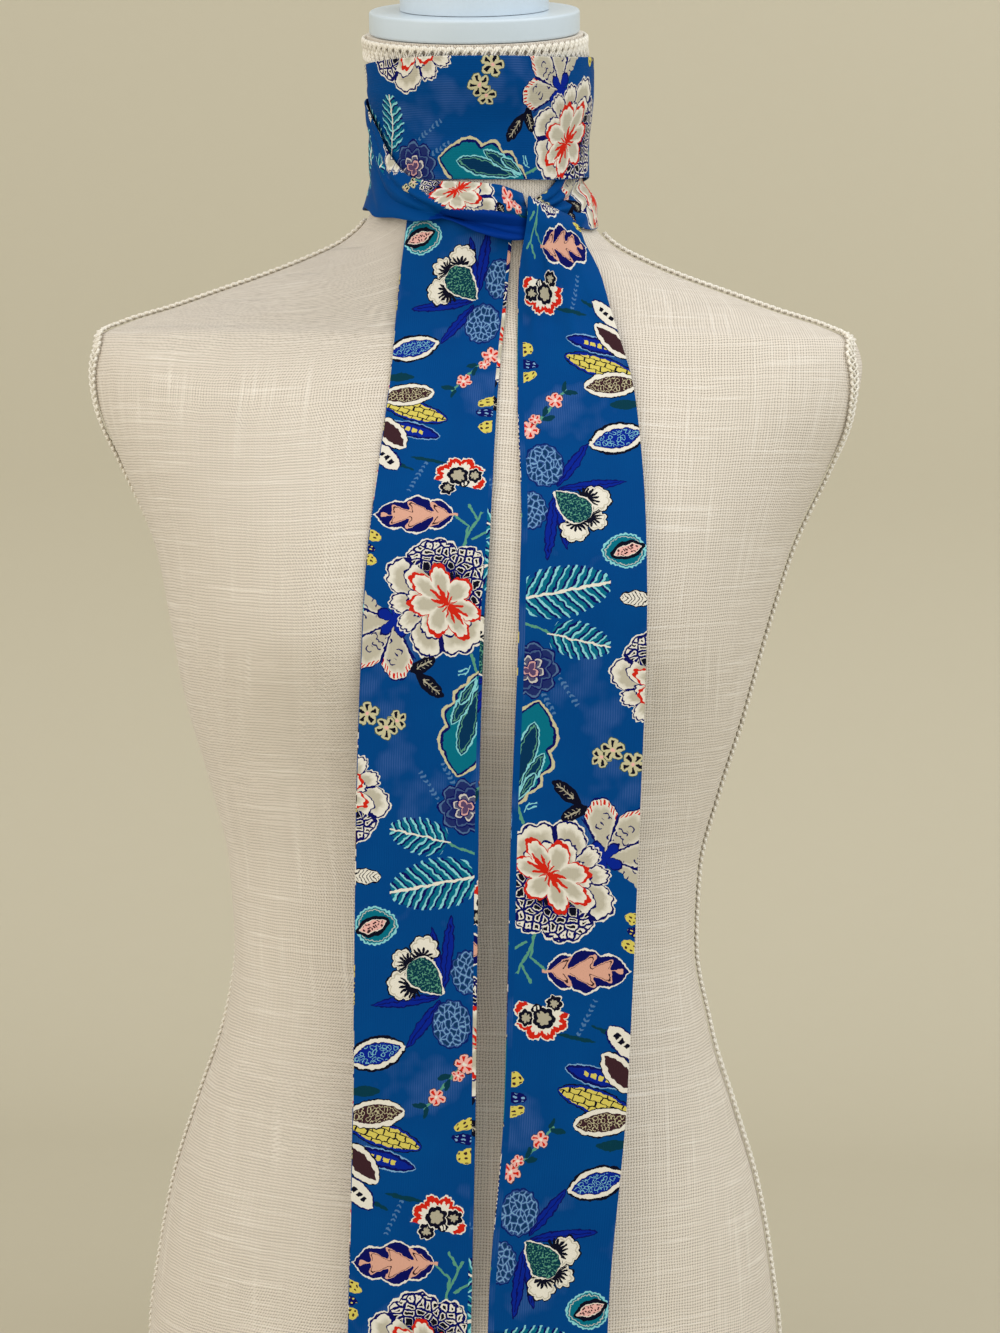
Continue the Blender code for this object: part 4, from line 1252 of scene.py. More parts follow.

# %% [markdown]
# The cloth itself is sheer and softly lustrous: the ground is a little uneven, and in paler patches the
# layer behind shows through between fine lines of the weave. The repeat is shaded in three regions, each a
# material with only the motifs that touch it, because one material with all of them is slow. Beyond the
# strip's own width the map stands for plain ground with deep shade painted in, partly also the darker blue
# of doubled cloth; the tucked lower fold of the knot uses it.


# %% Scarf cloth
def scarf_material(region):
    """One region of the print over an uneven ground, with the weft as a fine relief."""
    material, start, shader = new_material("scarf_cloth_" + str(region + 1), GROUND, Roughness=0.55,
                                           Specular_IOR_Level=0.03)
    flat = start.node("ShaderNodeUVMap", {"uv_map": "cloth"}).vector("SCALE")
    flat.socket.node.inputs["Scale"].default_value = 1000.0
    split = flat.node("ShaderNodeSeparateXYZ", {}, {0: flat})
    wobble = flat.node("ShaderNodeTexNoise", {"noise_dimensions": "2D"},
                       {"Vector": flat, "Scale": 0.32, "Detail": 2.0}, 1)
    cloth = flat.vector("ADD", wobble.vector("SUBTRACT", (0.5, 0.5, 0.5)).vector("MULTIPLY", (2.0, 2.0, 0.0)))
    patch = flat.node("ShaderNodeTexNoise", {"noise_dimensions": "2D"},
                      {"Vector": flat, "Scale": 0.028, "Detail": 3.0})
    weft = (split * (2.0 * math.pi / 1.1) + patch * 9.0).sin() * 0.5 + 0.5
    sheer = ((patch - 0.57) * 9.0).most(0.0).least(1.0)
    colour = lay((*GROUND, 1.0), srgb(0, 60, 124), (patch * 1.2).least(1.0))
    colour = lay(colour, LILAC, sheer * (weft * 0.35 + 0.18))
    # Painted shade, partly the darker blue of doubled cloth: past the strip's width the ground deepens.
    colour = lay(colour, SHADED_GROUND, ((split - PAINTED_SHADE_FROM) * 0.06).most(0.0).least(0.9))
    colour = near_motifs(cloth, far_leaves(cloth, colour, region), region)
    finish_material(start, shader, colour, weft, 0.00012, 0.3)
    return material


SCARF = [scarf_material(region) for region in range(REGIONS)]
print("nodes in the print:", [len(material.node_tree.nodes) for material in SCARF])

# %% [markdown]
# The scarf is a flat tube, so each stretch is made as a thin closed ring of cloth that runs along the strip:
# the front layer, a soft fold at one edge, the back layer and the fold at the other edge. Creases are listed
# one by one: each row of a table is one soft trough or ridge, with its place, direction, length, width and
# depth.

# %% Cloth helpers
CLOTH_THICK = 0.9
FRONT_COUNT = 44
BACK_COUNT = 16
FOLD_COUNT = 5
FINE_STEPS = 60
BACK_SHIFT = 150.0
STRIP_WIDTH = 2.4
STRIP_SHIFT = 22.0
CREASE_COLUMNS = ("along", "across", "slant", "length", "width", "depth")


def cloth_ring(width):
    """One ring: places across from -1 to 1 and the height off the middle layer, round both folds."""
    reach = CLOTH_THICK / width
    front = np.linspace(-1.0 + reach, 1.0 - reach, FRONT_COUNT)
    back = front[::-1][np.linspace(0, FRONT_COUNT - 1, BACK_COUNT).astype(int)]
    turn = np.linspace(0.0, math.pi, FOLD_COUNT + 2)[1:-1]
    fold_across = reach * np.sin(turn)
    fold_height = np.cos(turn)
    across = np.concatenate([front, 1.0 - reach + fold_across, back, -1.0 + reach - fold_across])
    height = np.concatenate([np.ones(FRONT_COUNT), fold_height, -np.ones(BACK_COUNT), -fold_height])
    return across, height * CLOTH_THICK / 2


def crease(along, across, rows):
    """Sum of soft troughs: a bell across each crease and a flatter bell along it."""
    total = np.zeros(np.broadcast(along, across).shape)
    table = columns(rows, CREASE_COLUMNS)
    for place in range(len(rows)):
        row = {name: table[name][place] for name in CREASE_COLUMNS}
        slant = math.radians(row["slant"])
        away = along - row["along"]
        over = across - row["across"]
        run = away * math.cos(slant) + over * math.sin(slant)
        off = over * math.cos(slant) - away * math.sin(slant)
        total = total + row["depth"] * np.exp(-(off / row["width"]) ** 2 - (run / row["length"]) ** 4)
    return total


def grid_normal(middle):
    """Normals of a grid from its steps along and across."""
    along = np.gradient(middle, axis=0)
    across = np.gradient(middle, axis=1)
    return unit(np.cross(along, across))


def corner_map(along, across, maps):
    """Corner coordinates for every quad: each map fills the quads that it is asked for."""
    loop = np.concatenate([across, across[:1]])
    middle = (along[:-1, None] + along[1:, None]) / 2
    walls = None
    for wanted, place in maps:
        grid = np.stack(np.broadcast_arrays(*place(along[:, None], loop[None, :])), axis=-1)
        quads = np.stack([grid[:-1, :-1], grid[:-1, 1:], grid[1:, 1:], grid[1:, :-1]], axis=2)
        if walls is None:
            walls = quads.copy()
        chosen = np.broadcast_to(wanted(middle, across[None, :]), walls.shape[:2])
        walls[chosen] = quads[chosen]
    return walls


def everywhere(along, across):
    return np.ones(np.broadcast(along, across).shape, dtype=bool)


def cloth_piece(name, surface, along, width, maps, strip=None):
    """Skin the two layers round a middle surface, with the print's millimetres as its map. The back layer
    shows the print further on, and so does a narrow strip where one edge of the tube rolls over."""
    across, height = cloth_ring(width)
    middle = surface(along[:, None], across[None, :])
    spread = np.linspace(-1.0, 1.0, FINE_STEPS + 1)
    normals = grid_normal(surface(along[:, None], spread[None, :]))
    at = (np.clip(across, -1.0, 1.0) + 1.0) * (FINE_STEPS / 2)
    low = np.clip(at.astype(int), 0, FINE_STEPS - 1)
    part = (at - low)[None, :, None]
    normal = unit(normals[:, low] * (1 - part) + normals[:, low + 1] * part)
    points = middle + normal * height[None, :, None]
    around = len(across)
    faces = skin_faces(len(along), around)
    walls = corner_map(along, across, maps)
    back = np.arange(around) >= FRONT_COUNT + FOLD_COUNT // 2
    walls[:, back, :, 1] += BACK_SHIFT
    if strip is not None:
        edge = (across[:around] * strip > 1.0 - 2.0 * STRIP_WIDTH / width) & ~back
        walls[:, edge, :, 1] += BACK_SHIFT
        walls[:, edge, :, 0] -= STRIP_SHIFT * strip
    walls = walls.reshape(-1, 4, 2)
    ends = np.zeros((len(faces) - len(walls), 4, 2))
    maps = np.concatenate([walls, ends])
    piece = make_piece(name, points, faces, SCARF[0], maps * MM, turn_over=True)
    for material in SCARF[1:]:
        piece.data.materials.append(material)
    region = (maps[..., 1].mean(axis=1) % REPEAT) // (REPEAT / REGIONS)
    piece.data.polygons.foreach_set("material_index", region.astype(np.int32))
    return piece


print("points round one ring of cloth:", FRONT_COUNT + BACK_COUNT + 2 * FOLD_COUNT)

# %% [markdown]
# The strip goes twice round the neck: from the knot under the right side, round the back, over the front as a
# flat band, round the back again and over the left side to the knot. A table follows it by angle, with the
# height of its middle, half its height, how far its edges are lifted off the neck by what lies beneath, and
# how far its gathered parts bulge.

# %% The two turns
TURN_COLUMNS = ("angle", "middle", "half_height", "lift_top", "lift_low", "fold_top", "fold_low", "groove")
TURN_STATIONS = (
    (34.0, 631.5, 5.0, 2.0, 2.0, 0.6, 0.4, 0.0),
    (50.0, 635.5, 9.5, 1.6, 1.8, 0.8, 1.0, 0.0),
    (62.0, 640.0, 16.0, 1.3, 1.6, 0.6, 2.8, -0.05),
    (75.0, 647.0, 22.0, 1.2, 1.5, 0.0, 5.0, -0.12),
    (90.0, 655.0, 27.5, 1.2, 1.4, 0.0, 5.4, -0.18),
    (105.0, 656.0, 28.4, 1.2, 1.2, 0.0, 3.0, -0.18),
    (130.0, 657.0, 28.5, 1.2, 1.2, 0.0, 0.0, -0.18),
    (180.0, 660.0, 28.5, 1.2, 1.2, 0.0, 0.0, 0.0),
    (230.0, 667.0, 28.5, 1.2, 1.2, 0.0, 0.0, 0.0),
    (270.0, 673.5, 28.5, 1.2, 1.2, 0.0, 0.0, 0.0),
    (282.0, 674.0, 28.4, 1.5, 1.2, 0.0, 0.0, 0.0),
    (294.0, 674.0, 28.4, 4.1, 1.2, 0.0, 0.0, 0.0),
    (304.0, 674.0, 28.4, 4.4, 1.2, 0.0, 0.0, 0.0),
    (360.0, 674.0, 28.4, 4.4, 1.2, 0.0, 0.0, 0.0),
    (390.0, 674.6, 28.4, 4.4, 1.8, 0.0, 0.0, 0.0),
    (410.0, 675.6, 28.3, 4.5, 3.6, 0.0, 0.0, 0.0),
    (430.0, 677.6, 28.2, 4.6, 4.6, 0.0, 0.0, 0.0),
    (450.0, 679.4, 28.1, 4.6, 4.8, 0.0, 0.0, 0.0),
    (470.0, 678.5, 28.3, 3.0, 3.0, 0.0, 0.0, 0.0),
    (500.0, 676.0, 28.5, 3.0, 3.0, 0.0, 0.0, 0.0),
    (540.0, 672.0, 28.5, 3.0, 3.0, 0.0, 0.0, 0.0),
    (585.0, 665.0, 28.4, 3.0, 3.0, 0.0, 0.0, 0.0),
    (630.0, 661.0, 27.8, 3.0, 4.2, 0.0, 0.0, 0.0),
    (645.0, 658.8, 26.2, 4.3, 4.4, 0.4, 0.0, 0.0),
    (660.0, 650.5, 22.0, 3.9, 4.2, 1.5, 0.6, -0.05),
    (672.0, 641.6, 17.0, 3.1, 4.2, 2.6, 1.4, -0.1),
    (690.0, 635.0, 11.8, 2.9, 4.8, 3.8, 2.2, -0.15),
    (705.0, 632.4, 12.6, 3.0, 5.2, 4.6, 2.8, -0.22),
    (720.0, 631.0, 13.5, 3.0, 5.2, 5.0, 3.0, -0.3),
    (735.0, 629.6, 14.0, 3.0, 5.0, 4.6, 2.8, -0.36),
    (748.0, 628.0, 11.8, 3.4, 4.2, 1.6, 1.0, -0.4),
)
TURN = columns(TURN_STATIONS, TURN_COLUMNS)
LOW_EDGE = (
    (34.0, -1.0),
    (640.0, -1.0),
    (660.0, -0.88),
    (678.0, -0.82),
    (690.0, -0.75),
    (698.0, -0.68),
    (704.0, -0.5),
    (709.0, -0.32),
    (714.0, -0.38),
    (718.5, -0.5),
    (724.0, -0.66),
    (729.0, -0.74),
    (736.0, -0.84),
    (748.0, -0.9),
)
LIFT_FROM = -0.1
LIFT_TO = 0.65
TURN_CREASES = (
    (352.0, -8.0, 4.0, 60.0, 2.6, -0.3),
    (330.0, 14.0, -8.0, 40.0, 3.0, -0.25),
    (395.0, 2.0, 14.0, 26.0, 3.0, -0.35),
    (300.0, -12.0, -14.0, 22.0, 3.2, -0.4),
    (655.0, 6.0, -28.0, 26.0, 3.4, -1.1),
    (672.0, 14.0, -22.0, 30.0, 3.0, -1.2),
    (690.0, 14.0, -30.0, 24.0, 2.6, 0.9),
    (697.0, 5.0, -42.0, 15.0, 2.6, -2.0),
    (712.0, 12.0, -14.0, 22.0, 2.6, -1.2),
    (724.0, -12.0, -25.0, 20.0, 2.2, -2.2),
    (730.0, 4.0, -12.0, 14.0, 2.6, -1.3),
    (738.0, 16.0, -20.0, 12.0, 2.4, -1.1),
    (722.0, -20.0, -8.0, 18.0, 2.4, 0.9),
    (650.0, -14.0, -16.0, 22.0, 3.6, -0.7),
    (52.0, 12.0, 2.0, 18.0, 3.4, -1.3),
    (54.0, -1.0, 0.0, 20.0, 3.4, -1.6),
    (56.0, -14.0, -3.0, 20.0, 3.2, -1.4),
    (60.0, 6.0, 3.0, 18.0, 3.0, 0.8),
    (62.0, -8.0, -2.0, 18.0, 3.0, 0.8),
    (88.0, -12.0, 14.0, 22.0, 3.2, -0.8),
)
TURN_MM = 0.92
TURN_CREASES_MM = tuple((row[0] * TURN_MM,) + row[1:] for row in TURN_CREASES)
TURN_HALF_WIDTH = 28.0
TURN_ROWS = 440


def turn_surface(angle, across):
    """Form point at the angle, held off along the normal by the lifts, the bulges and the creases."""
    angle, across = np.broadcast_arrays(angle, across)
    value = {name: smooth(angle, TURN["angle"], TURN[name]) for name in TURN_COLUMNS[1:]}
    across = across + (1.0 - across) / 2.0 * (np.interp(angle, *np.array(LOW_EDGE).T) + 1.0)
    z = value["middle"] + value["half_height"] * across
    rise = np.clip((across - LIFT_FROM) / (LIFT_TO - LIFT_FROM), 0.0, 1.0)
    rise = rise * rise * (3.0 - 2.0 * rise)
    lift = value["lift_low"] + (value["lift_top"] - value["lift_low"]) * rise
    upper = (across - value["groove"]) / (1.0 - value["groove"])
    lower = (value["groove"] - across) / (1.0 + value["groove"])
    bulge = np.where(
        across > value["groove"],
        value["fold_top"] * np.sin(math.pi * np.clip(upper, 0.0, 1.0)),
        value["fold_low"] * np.sin(math.pi * np.clip(lower, 0.0, 1.0)),
    )
    shaped = crease(angle * TURN_MM, across * TURN_HALF_WIDTH, TURN_CREASES_MM)
    turn = np.radians(angle)
    return form_point(turn, z) + form_normal(turn, z) * (lift + bulge + shaped)[..., None]


turn_along = np.linspace(TURN_STATIONS[0][0], TURN_STATIONS[-1][0], TURN_ROWS)
track = turn_surface(turn_along, np.zeros_like(turn_along))
turn_length = np.concatenate([[0.0], np.cumsum(np.linalg.norm(np.diff(track, axis=0), axis=1))])
print("cloth in the turns:", round(float(turn_length[-1])), "mm")

# %% [markdown]
# The print runs along the strip without a break, but near the knot some of it is gathered away, so a table
# says by angle how much is skipped and which part of the width shows. Five stretches have a map of their own:
# the turn on the right, a plain stretch, the two parts that turn over into the knot, and its shaded lower
# fold.

# %% Print on the turns
PRINT_AT_TURNS = 541.1
GATHER_COLUMNS = ("angle", "more", "top", "low")
PRINT_GATHERS = (
    (34.0, 60.0, 12.0, 30.0),
    (50.0, 58.0, 6.0, 34.0),
    (62.0, 54.0, 2.0, 44.0),
    (75.0, 50.0, 0.0, 54.0),
    (90.0, 50.0, 0.0, 58.0),
    (285.0, 50.0, 0.0, 58.0),
    (285.1, 13.0, 0.0, 58.0),
    (345.0, 13.0, 0.0, 58.0),
    (385.0, 9.0, 0.0, 58.0),
    (398.0, 4.0, 0.0, 58.0),
    (412.0, 0.0, 0.0, 58.0),
    (640.0, 0.0, 4.0, 58.0),
    (652.0, -1.0, 8.0, 58.0),
    (660.0, -4.0, 10.0, 58.0),
    (672.0, -12.0, 8.0, 52.0),
    (690.0, -37.0, 0.0, 44.0),
    (700.0, -45.0, 2.0, 44.0),
    (748.0, -60.0, 10.0, 44.0),
)
GATHER = columns(PRINT_GATHERS, GATHER_COLUMNS)
RIGHT_TURN_END = 285.0
PLAIN_FROM = 76.0
PLAIN_SPREAD = 3.0
PLAIN_FOLD = ((645.0, -1.1), (650.0, -0.2), (656.0, 0.3), (700.0, 0.3), (748.0, 0.3))
SHADED_FOLD = ((704.0, -0.9), (709.0, -0.5), (718.0, -0.22), (724.0, -0.1), (729.0, 0.02), (736.0, 0.05),
               (748.0, -0.2))
SHADE_FROM = 98.0
SHADE_DEEPER = 12.0
SHADE_ANGLE = 696.0
SHADE_SPREAD = 20.0
FLIP_FROM = 690.0
FLIP_SLANT = 15.8
FLIP_PRINT = (48.0, -40.0, 651.0, 186.0, 1.25)
LAST_FROM = 737.0
LAST_PRINT = (58.0, -24.0, 672.0, 38.0, 1.3)
TURN_WIDTH = 57.0


def turn_place(angle, across):
    """The strip's own millimetres, with what is gathered away near the knot skipped."""
    gather = {name: np.interp(angle, GATHER["angle"], GATHER[name]) for name in GATHER_COLUMNS[1:]}
    length = np.interp(angle, turn_along, turn_length)
    down = (1.0 - across) / 2
    return gather["top"] + (gather["low"] - gather["top"]) * down, PRINT_AT_TURNS - length + gather["more"]


def first_turn_place(angle, across):
    return turn_place(np.minimum(angle, RIGHT_TURN_END), across)


def turned_over(values):
    """Print of a stretch that turns over on its way into the knot: it runs the other way along the strip,
    from its own place at the top edge, a given way down, and at its own pace."""
    top, down, length_from, print_from, pace = values

    def place(angle, across):
        length = np.interp(angle, turn_along, turn_length)
        return top + down * (1.0 - across) / 2, print_from + (length - length_from) * pace

    return place


def shaded_place(angle, across):
    """Plain ground beyond the strip's width, its painted shade deeper the further the fold is tucked under."""
    deeper = SHADE_DEEPER * np.clip((angle - SHADE_ANGLE) / SHADE_SPREAD, 0.0, 1.0)
    return SHADE_FROM + deeper + 0.0 * across, angle + 0.0 * across


def plain_place(angle, across):
    """Plain ground: the stretch of the left turn between two flowers."""
    return PLAIN_FROM + PLAIN_SPREAD * across + 0.0 * angle, angle + 0.0 * across


def below(table):
    """Quads whose place across is under the table's value at their angle."""
    return lambda angle, across: (angle > table[0][0]) & (across < np.interp(angle, *np.array(table).T))


turns = cloth_piece("scarf_turns", turn_surface, turn_along, TURN_WIDTH, (
    (everywhere, turn_place),
    (lambda angle, across: angle < RIGHT_TURN_END, first_turn_place),
    (below(PLAIN_FOLD), plain_place),
    (lambda angle, across: angle > FLIP_FROM + FLIP_SLANT * (1.0 - across), turned_over(FLIP_PRINT)),
    (lambda angle, across: angle > LAST_FROM, turned_over(LAST_PRINT)),
    (below(SHADED_FOLD), shaded_place),
))
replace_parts(turns, "scarf_turn_right", "scarf_front_band", "scarf_turn_left")
print("maps on the turns: 6")

# %% [markdown]
# The knot's fold comes over the front and falls straight into the right tail, so the two are one piece. Both
# tails hang: each column of points falls straight down from where the chest stands furthest forward.

# %% Knot and tails
KNOT_COLUMNS = ("step", "left_x", "left_z", "left_lift", "right_x", "right_z", "right_lift", "bulge")
KNOT_STATIONS = (
    (0.0, 31.4, 636.4, 4.8, 50.6, 627.6, 4.4, 0.0),
    (0.12, 31.2, 638.0, 6.4, 51.4, 629.2, 5.8, 0.4),
    (0.25, 31.0, 636.2, 8.0, 52.6, 627.4, 7.0, 1.6),
    (0.6, 30.8, 628.0, 8.6, 54.8, 623.6, 7.4, 3.0),
    (1.0, 29.6, 618.6, 7.6, 56.6, 619.2, 6.0, 2.4),
)
KNOT = columns(KNOT_STATIONS, KNOT_COLUMNS)
TAIL_COLUMNS = ("height", "left_x", "right_x")
LEFT_TAIL_END = 56.0
RIGHT_TAIL_END = 102.5
LEFT_TAIL = (
    (632.0, -26.8, 24.0),
    (615.0, -28.6, 23.2),
    (588.0, -31.0, 21.4),
    (541.0, -33.2, 19.0),
    (476.0, -38.4, 18.4),
    (440.0, -40.2, 16.8),
    (346.0, -42.6, 15.2),
    (214.0, -43.0, 15.2),
    (103.0, -44.4, 14.2),
    (LEFT_TAIL_END, -44.6, 14.0),
)
RIGHT_TAIL = (
    (618.2, 29.6, 56.6),
    (602.0, 27.2, 65.4),
    (588.0, 26.8, 70.0),
    (541.0, 28.6, 84.4),
    (477.0, 33.0, 91.2),
    (440.0, 32.8, 92.2),
    (347.0, 30.4, 90.2),
    (216.0, 28.8, 86.2),
    (121.0, 22.6, 79.2),
    (RIGHT_TAIL_END, 22.2, 78.6),
)
TAIL_GAP = 0.75
WALL = 1.2
TAIL_STRAIGHTEN = 60.0
TAIL_STRAIGHTEST = 0.85
TAIL_DEEPEST = -0.55
TAIL_ROW = 2.1
LEFT_CREASES = (
    (612.0, -8.0, -8.0, 26.0, 3.4, -0.7),
    (604.0, 12.0, 6.0, 30.0, 3.4, -0.6),
    (560.0, 2.0, -3.0, 60.0, 5.0, 0.5),
    (330.0, -16.0, 2.0, 90.0, 6.0, 0.5),
    (180.0, 2.0, -2.0, 90.0, 6.0, 0.5),
)
RIGHT_CREASES = (
    (600.0, 33.0, -5.0, 30.0, 2.8, 2.2),
    (598.0, 46.0, -18.0, 34.0, 3.4, 1.8),
    (604.0, 39.0, -10.0, 26.0, 2.0, -1.2),
    (604.0, 45.0, -14.0, 26.0, 2.6, -1.2),
    (598.0, 54.0, -26.0, 26.0, 2.8, -1.0),
    (560.0, 60.0, -20.0, 60.0, 6.0, 0.6),
    (430.0, 60.0, -2.0, 80.0, 7.0, 0.5),
    (220.0, 44.0, 2.0, 80.0, 6.0, 0.5),
)


def knot_surface(step, across):
    """Point of the knot's fold: straight lines between its two side edges, bulged in the middle."""
    value = {name: smooth(step, KNOT["step"], KNOT[name]) for name in KNOT_COLUMNS[1:]}
    part = (across + 1.0) / 2.0
    x = value["left_x"] + (value["right_x"] - value["left_x"]) * part
    z = value["left_z"] + (value["right_z"] - value["left_z"]) * part
    lift = value["left_lift"] + (value["right_lift"] - value["left_lift"]) * part
    return lifted_front(x, z, lift + value["bulge"] * np.sin(math.pi * part))


def tail_rows(table):
    """Heights of a tail's rows from its head to its end."""
    count = int(round((table[0][0] - table[-1][0]) / TAIL_ROW)) + 1
    return np.linspace(table[0][0], table[-1][0], count)


def tail_surface(table, creases, head=None):
    """A surface by height and place across: never nearer the form than its gap, and never going back in."""
    tail = columns(table[::-1], TAIL_COLUMNS)
    top = table[0][0]

    def surface(z, across):
        z, across = np.broadcast_arrays(z, across)
        left = smooth(z, tail["height"], tail["left_x"])
        right = smooth(z, tail["height"], tail["right_x"])
        part = (across + 1.0) / 2.0
        x = left + (right - left) * part
        front = form_front(x, z) + TAIL_GAP + WALL / 2
        straight = np.clip((top - z) / TAIL_STRAIGHTEN, 0.0, TAIL_STRAIGHTEST)
        front = front + (front.max(axis=1, keepdims=True) - front) * straight
        if head is not None:
            front[0] = np.maximum(front[0], head(across[0]))
        depth = np.maximum.accumulate(front, axis=0)
        depth = depth + np.maximum(crease(z, x, creases), TAIL_DEEPEST - (depth - front))
        return np.stack([x, -depth, z], axis=-1)

    return surface


def tail_print(rows, surface, shift):
    """Millimetres of print down a tail: its own length plus a shift read from a short table."""
    middle = surface(rows[:, None], np.array([[-0.5, 0.0, 0.5]]))[:, 1]
    length = np.concatenate([[0.0], np.cumsum(np.linalg.norm(np.diff(middle, axis=0), axis=1))])
    return length, length + np.interp(length, *np.array(shift).T)


left_rows = tail_rows(LEFT_TAIL)
left_surface = tail_surface(LEFT_TAIL, LEFT_CREASES)
LEFT_PRINT_SHIFT = ((0.0, -35.2), (34.7, -32.5), (55.5, -30.5), (132.1, -14.8), (151.4, -11.7),
                    (173.2, -8.2))
left_length, left_print = tail_print(left_rows, left_surface, LEFT_PRINT_SHIFT)
left_tail = cloth_piece("scarf_left_tail", left_surface, left_rows, CLOTH_WIDTH, (
    (everywhere, lambda z, across: ((across + 1.0) * CLOTH_WIDTH / 2,
                                    np.interp(-z, -left_rows, left_print))),
), strip=1.0)
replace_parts(left_tail, "scarf_tail_left")
print("left tail:", round(float(left_length[-1])), "mm long")

# %% [markdown]
# The right tail starts on the fold of the knot. Its rows are the knot's rows, then the tail's.

# %% Knot with the right tail
KNOT_ROWS = 26
KNOT_BLEND = 5.0
PRINT_AT_KNOT = 491.5
KNOT_PRINT_STEP = 0.5
RIGHT_PRINT_SHIFT = ((0.0, -8.5), (30.0, -9.5), (120.0, -5.5), (165.0, 0.0), (528.0, -1.5))
right_rows = tail_rows(RIGHT_TAIL)
right_surface = tail_surface(RIGHT_TAIL, RIGHT_CREASES,
                             lambda across: -knot_surface(np.ones_like(across), across)[:, 1])


def knot_and_tail(place, across):
    """Rows of the knot while the place is below the knot's count, then rows of the tail."""
    steps = np.linspace(0.0, 1.0, KNOT_ROWS)[:, None]
    knot = knot_surface(steps, np.broadcast_to(across, (KNOT_ROWS, across.shape[1])))
    tail = right_surface(right_rows[:, None], across)
    rows = np.concatenate([knot, tail])
    blend = rows.copy()
    for _ in range(3):
        blend[1:-1] = (blend[:-2] + 2.0 * blend[1:-1] + blend[2:]) / 4.0
    share = np.exp(-((np.arange(len(rows)) - KNOT_ROWS) / KNOT_BLEND) ** 2)[:, None, None]
    return rows * (1.0 - share) + blend * share


right_length, right_print = tail_print(right_rows, right_surface, RIGHT_PRINT_SHIFT)
knot_middle = knot_surface(np.linspace(0.0, 1.0, KNOT_ROWS), np.zeros(KNOT_ROWS))
knot_steps = np.linalg.norm(np.diff(knot_middle, axis=0), axis=1)
knot_above = np.concatenate([np.cumsum(knot_steps[::-1])[::-1], [0.0]])
knot_print = PRINT_AT_KNOT - right_print[0] + KNOT_PRINT_STEP + knot_above
right_print = np.concatenate([knot_print, PRINT_AT_KNOT - right_print])
right_places = np.arange(len(right_print), dtype=float)
right_tail = cloth_piece("scarf_right_tail", knot_and_tail, right_places, CLOTH_WIDTH, (
    (everywhere, lambda place, across: ((1.0 - across) * CLOTH_WIDTH / 2,
                                        np.interp(place, right_places, right_print))),
), strip=-1.0)
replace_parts(right_tail, "scarf_knot", "scarf_tail_right")

# %% [markdown]
# The stage is a plain pale sweep: a floor that curves up into a wall. The light is soft: a large window-like
# panel to the left, warmer, a cooler fill from the right, and a pale room all round.

# %% Stage and light
WALL_TONE = srgb(190, 184, 164)
WALL_SHADE = srgb(188, 181, 160)
FLOOR_TOP = -0.5
FLOOR_FRONT = -2600.0
SWEEP_FROM = 700.0
SWEEP_RADIUS = 500.0
WALL_TOP = 3600.0
SWEEP_SIDE = 3200.0
ROOM_COLOUR = (1.0, 0.975, 0.93, 1.0)
ROOM_STRENGTH = 0.96


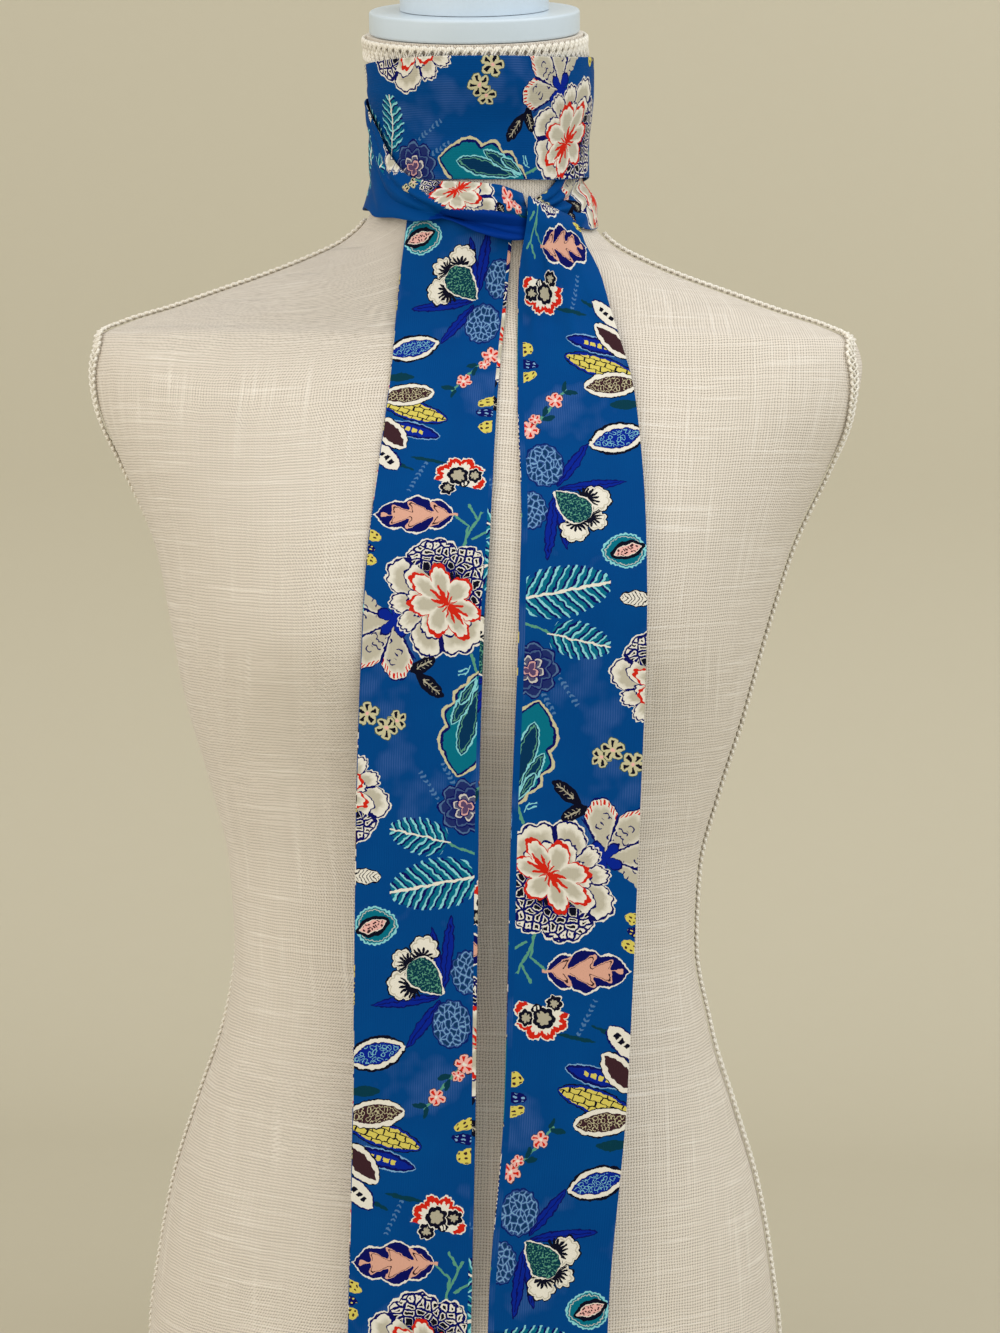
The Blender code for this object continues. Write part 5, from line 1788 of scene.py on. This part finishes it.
def make_stage():
    """A sweep: a floor line, a quarter round and a wall line, carried sideways. Its back is clear, so that
    the form can be seen from behind."""
    turn = np.linspace(0.0, math.pi / 2, 24)
    bend = np.stack([SWEEP_FROM + SWEEP_RADIUS * np.sin(turn),
                     SWEEP_RADIUS + FLOOR_TOP - SWEEP_RADIUS * np.cos(turn)], axis=1)
    profile = np.concatenate([[[FLOOR_FRONT, FLOOR_TOP]], bend, [[SWEEP_FROM + SWEEP_RADIUS, WALL_TOP]]])
    side = np.linspace(-SWEEP_SIDE, SWEEP_SIDE, 9)
    grid = np.stack(np.broadcast_arrays(side[None, :], profile[:, :1], profile[:, 1:]), axis=-1)
    place = np.arange(grid.shape[0] * grid.shape[1]).reshape(grid.shape[:2])
    faces = np.stack([place[:-1, :-1], place[:-1, 1:], place[1:, 1:], place[1:, :-1]], axis=-1)
    material, start, shader = new_material("stage_paint", WALL_TONE, Roughness=0.9)
    paint = start.node("ShaderNodeTexCoord", {}, {}, 3)
    grain = paint.node("ShaderNodeTexNoise", {}, {"Vector": paint, "Scale": 60.0, "Detail": 3.0})
    colour = lay((*WALL_TONE, 1.0), WALL_SHADE, grain * 0.4)
    finish_material(start, shader, colour, grain, 0.0005, 0.2)
    front_side = 1.0 - start.node("ShaderNodeNewGeometry", {}, {}, 6)
    start.tree.links.new(front_side.socket, shader.inputs["Alpha"])
    mesh = bpy.data.meshes.new("stage_sweep")
    mesh.from_pydata((grid.reshape(-1, 3) * MM).tolist(), [], faces.reshape(-1, 4).tolist())
    mesh.shade_smooth()
    mesh.materials.append(material)
    stage = bpy.data.objects.new("stage_sweep", mesh)
    bpy.context.scene.collection.objects.link(stage)


LIGHT_COLUMNS = ("name", "place", "aim", "size", "power", "colour")
LIGHTS = (
    ("window", (-1.5, -1.8, 1.2), (0.0, 0.0, 0.42), 1.9, 15.5, (1.0, 0.92, 0.80)),
    ("fill", (1.7, -1.7, 0.9), (0.0, 0.0, 0.42), 1.9, 6.5, (0.72, 0.87, 1.0)),
    ("wall_wash", (1.1, -0.2, 1.9), (0.6, 1.1, 0.0), 1.6, 11.0, (0.95, 0.97, 1.0)),
)


def make_lights():
    """Area lights from the table, each turned to its aim, and a pale world."""
    for row in LIGHTS:
        light = dict(zip(LIGHT_COLUMNS, row))
        lamp = bpy.data.lights.new(light["name"], "AREA")
        lamp.size = light["size"]
        lamp.energy = light["power"]
        lamp.color = light["colour"]
        stand = bpy.data.objects.new(light["name"], lamp)
        bpy.context.scene.collection.objects.link(stand)
        stand.location = light["place"]
        aim = Vector(light["aim"]) - Vector(light["place"])
        stand.rotation_euler = aim.to_track_quat("-Z", "Y").to_euler()
    world = bpy.data.worlds.new("room")
    world.use_nodes = True
    world.node_tree.nodes["Background"].inputs["Color"].default_value = ROOM_COLOUR
    world.node_tree.nodes["Background"].inputs["Strength"].default_value = ROOM_STRENGTH
    bpy.context.scene.world = world


make_stage()
make_lights()
bpy.context.scene.view_settings.view_transform = "Standard"
print("lights:", len(LIGHTS))
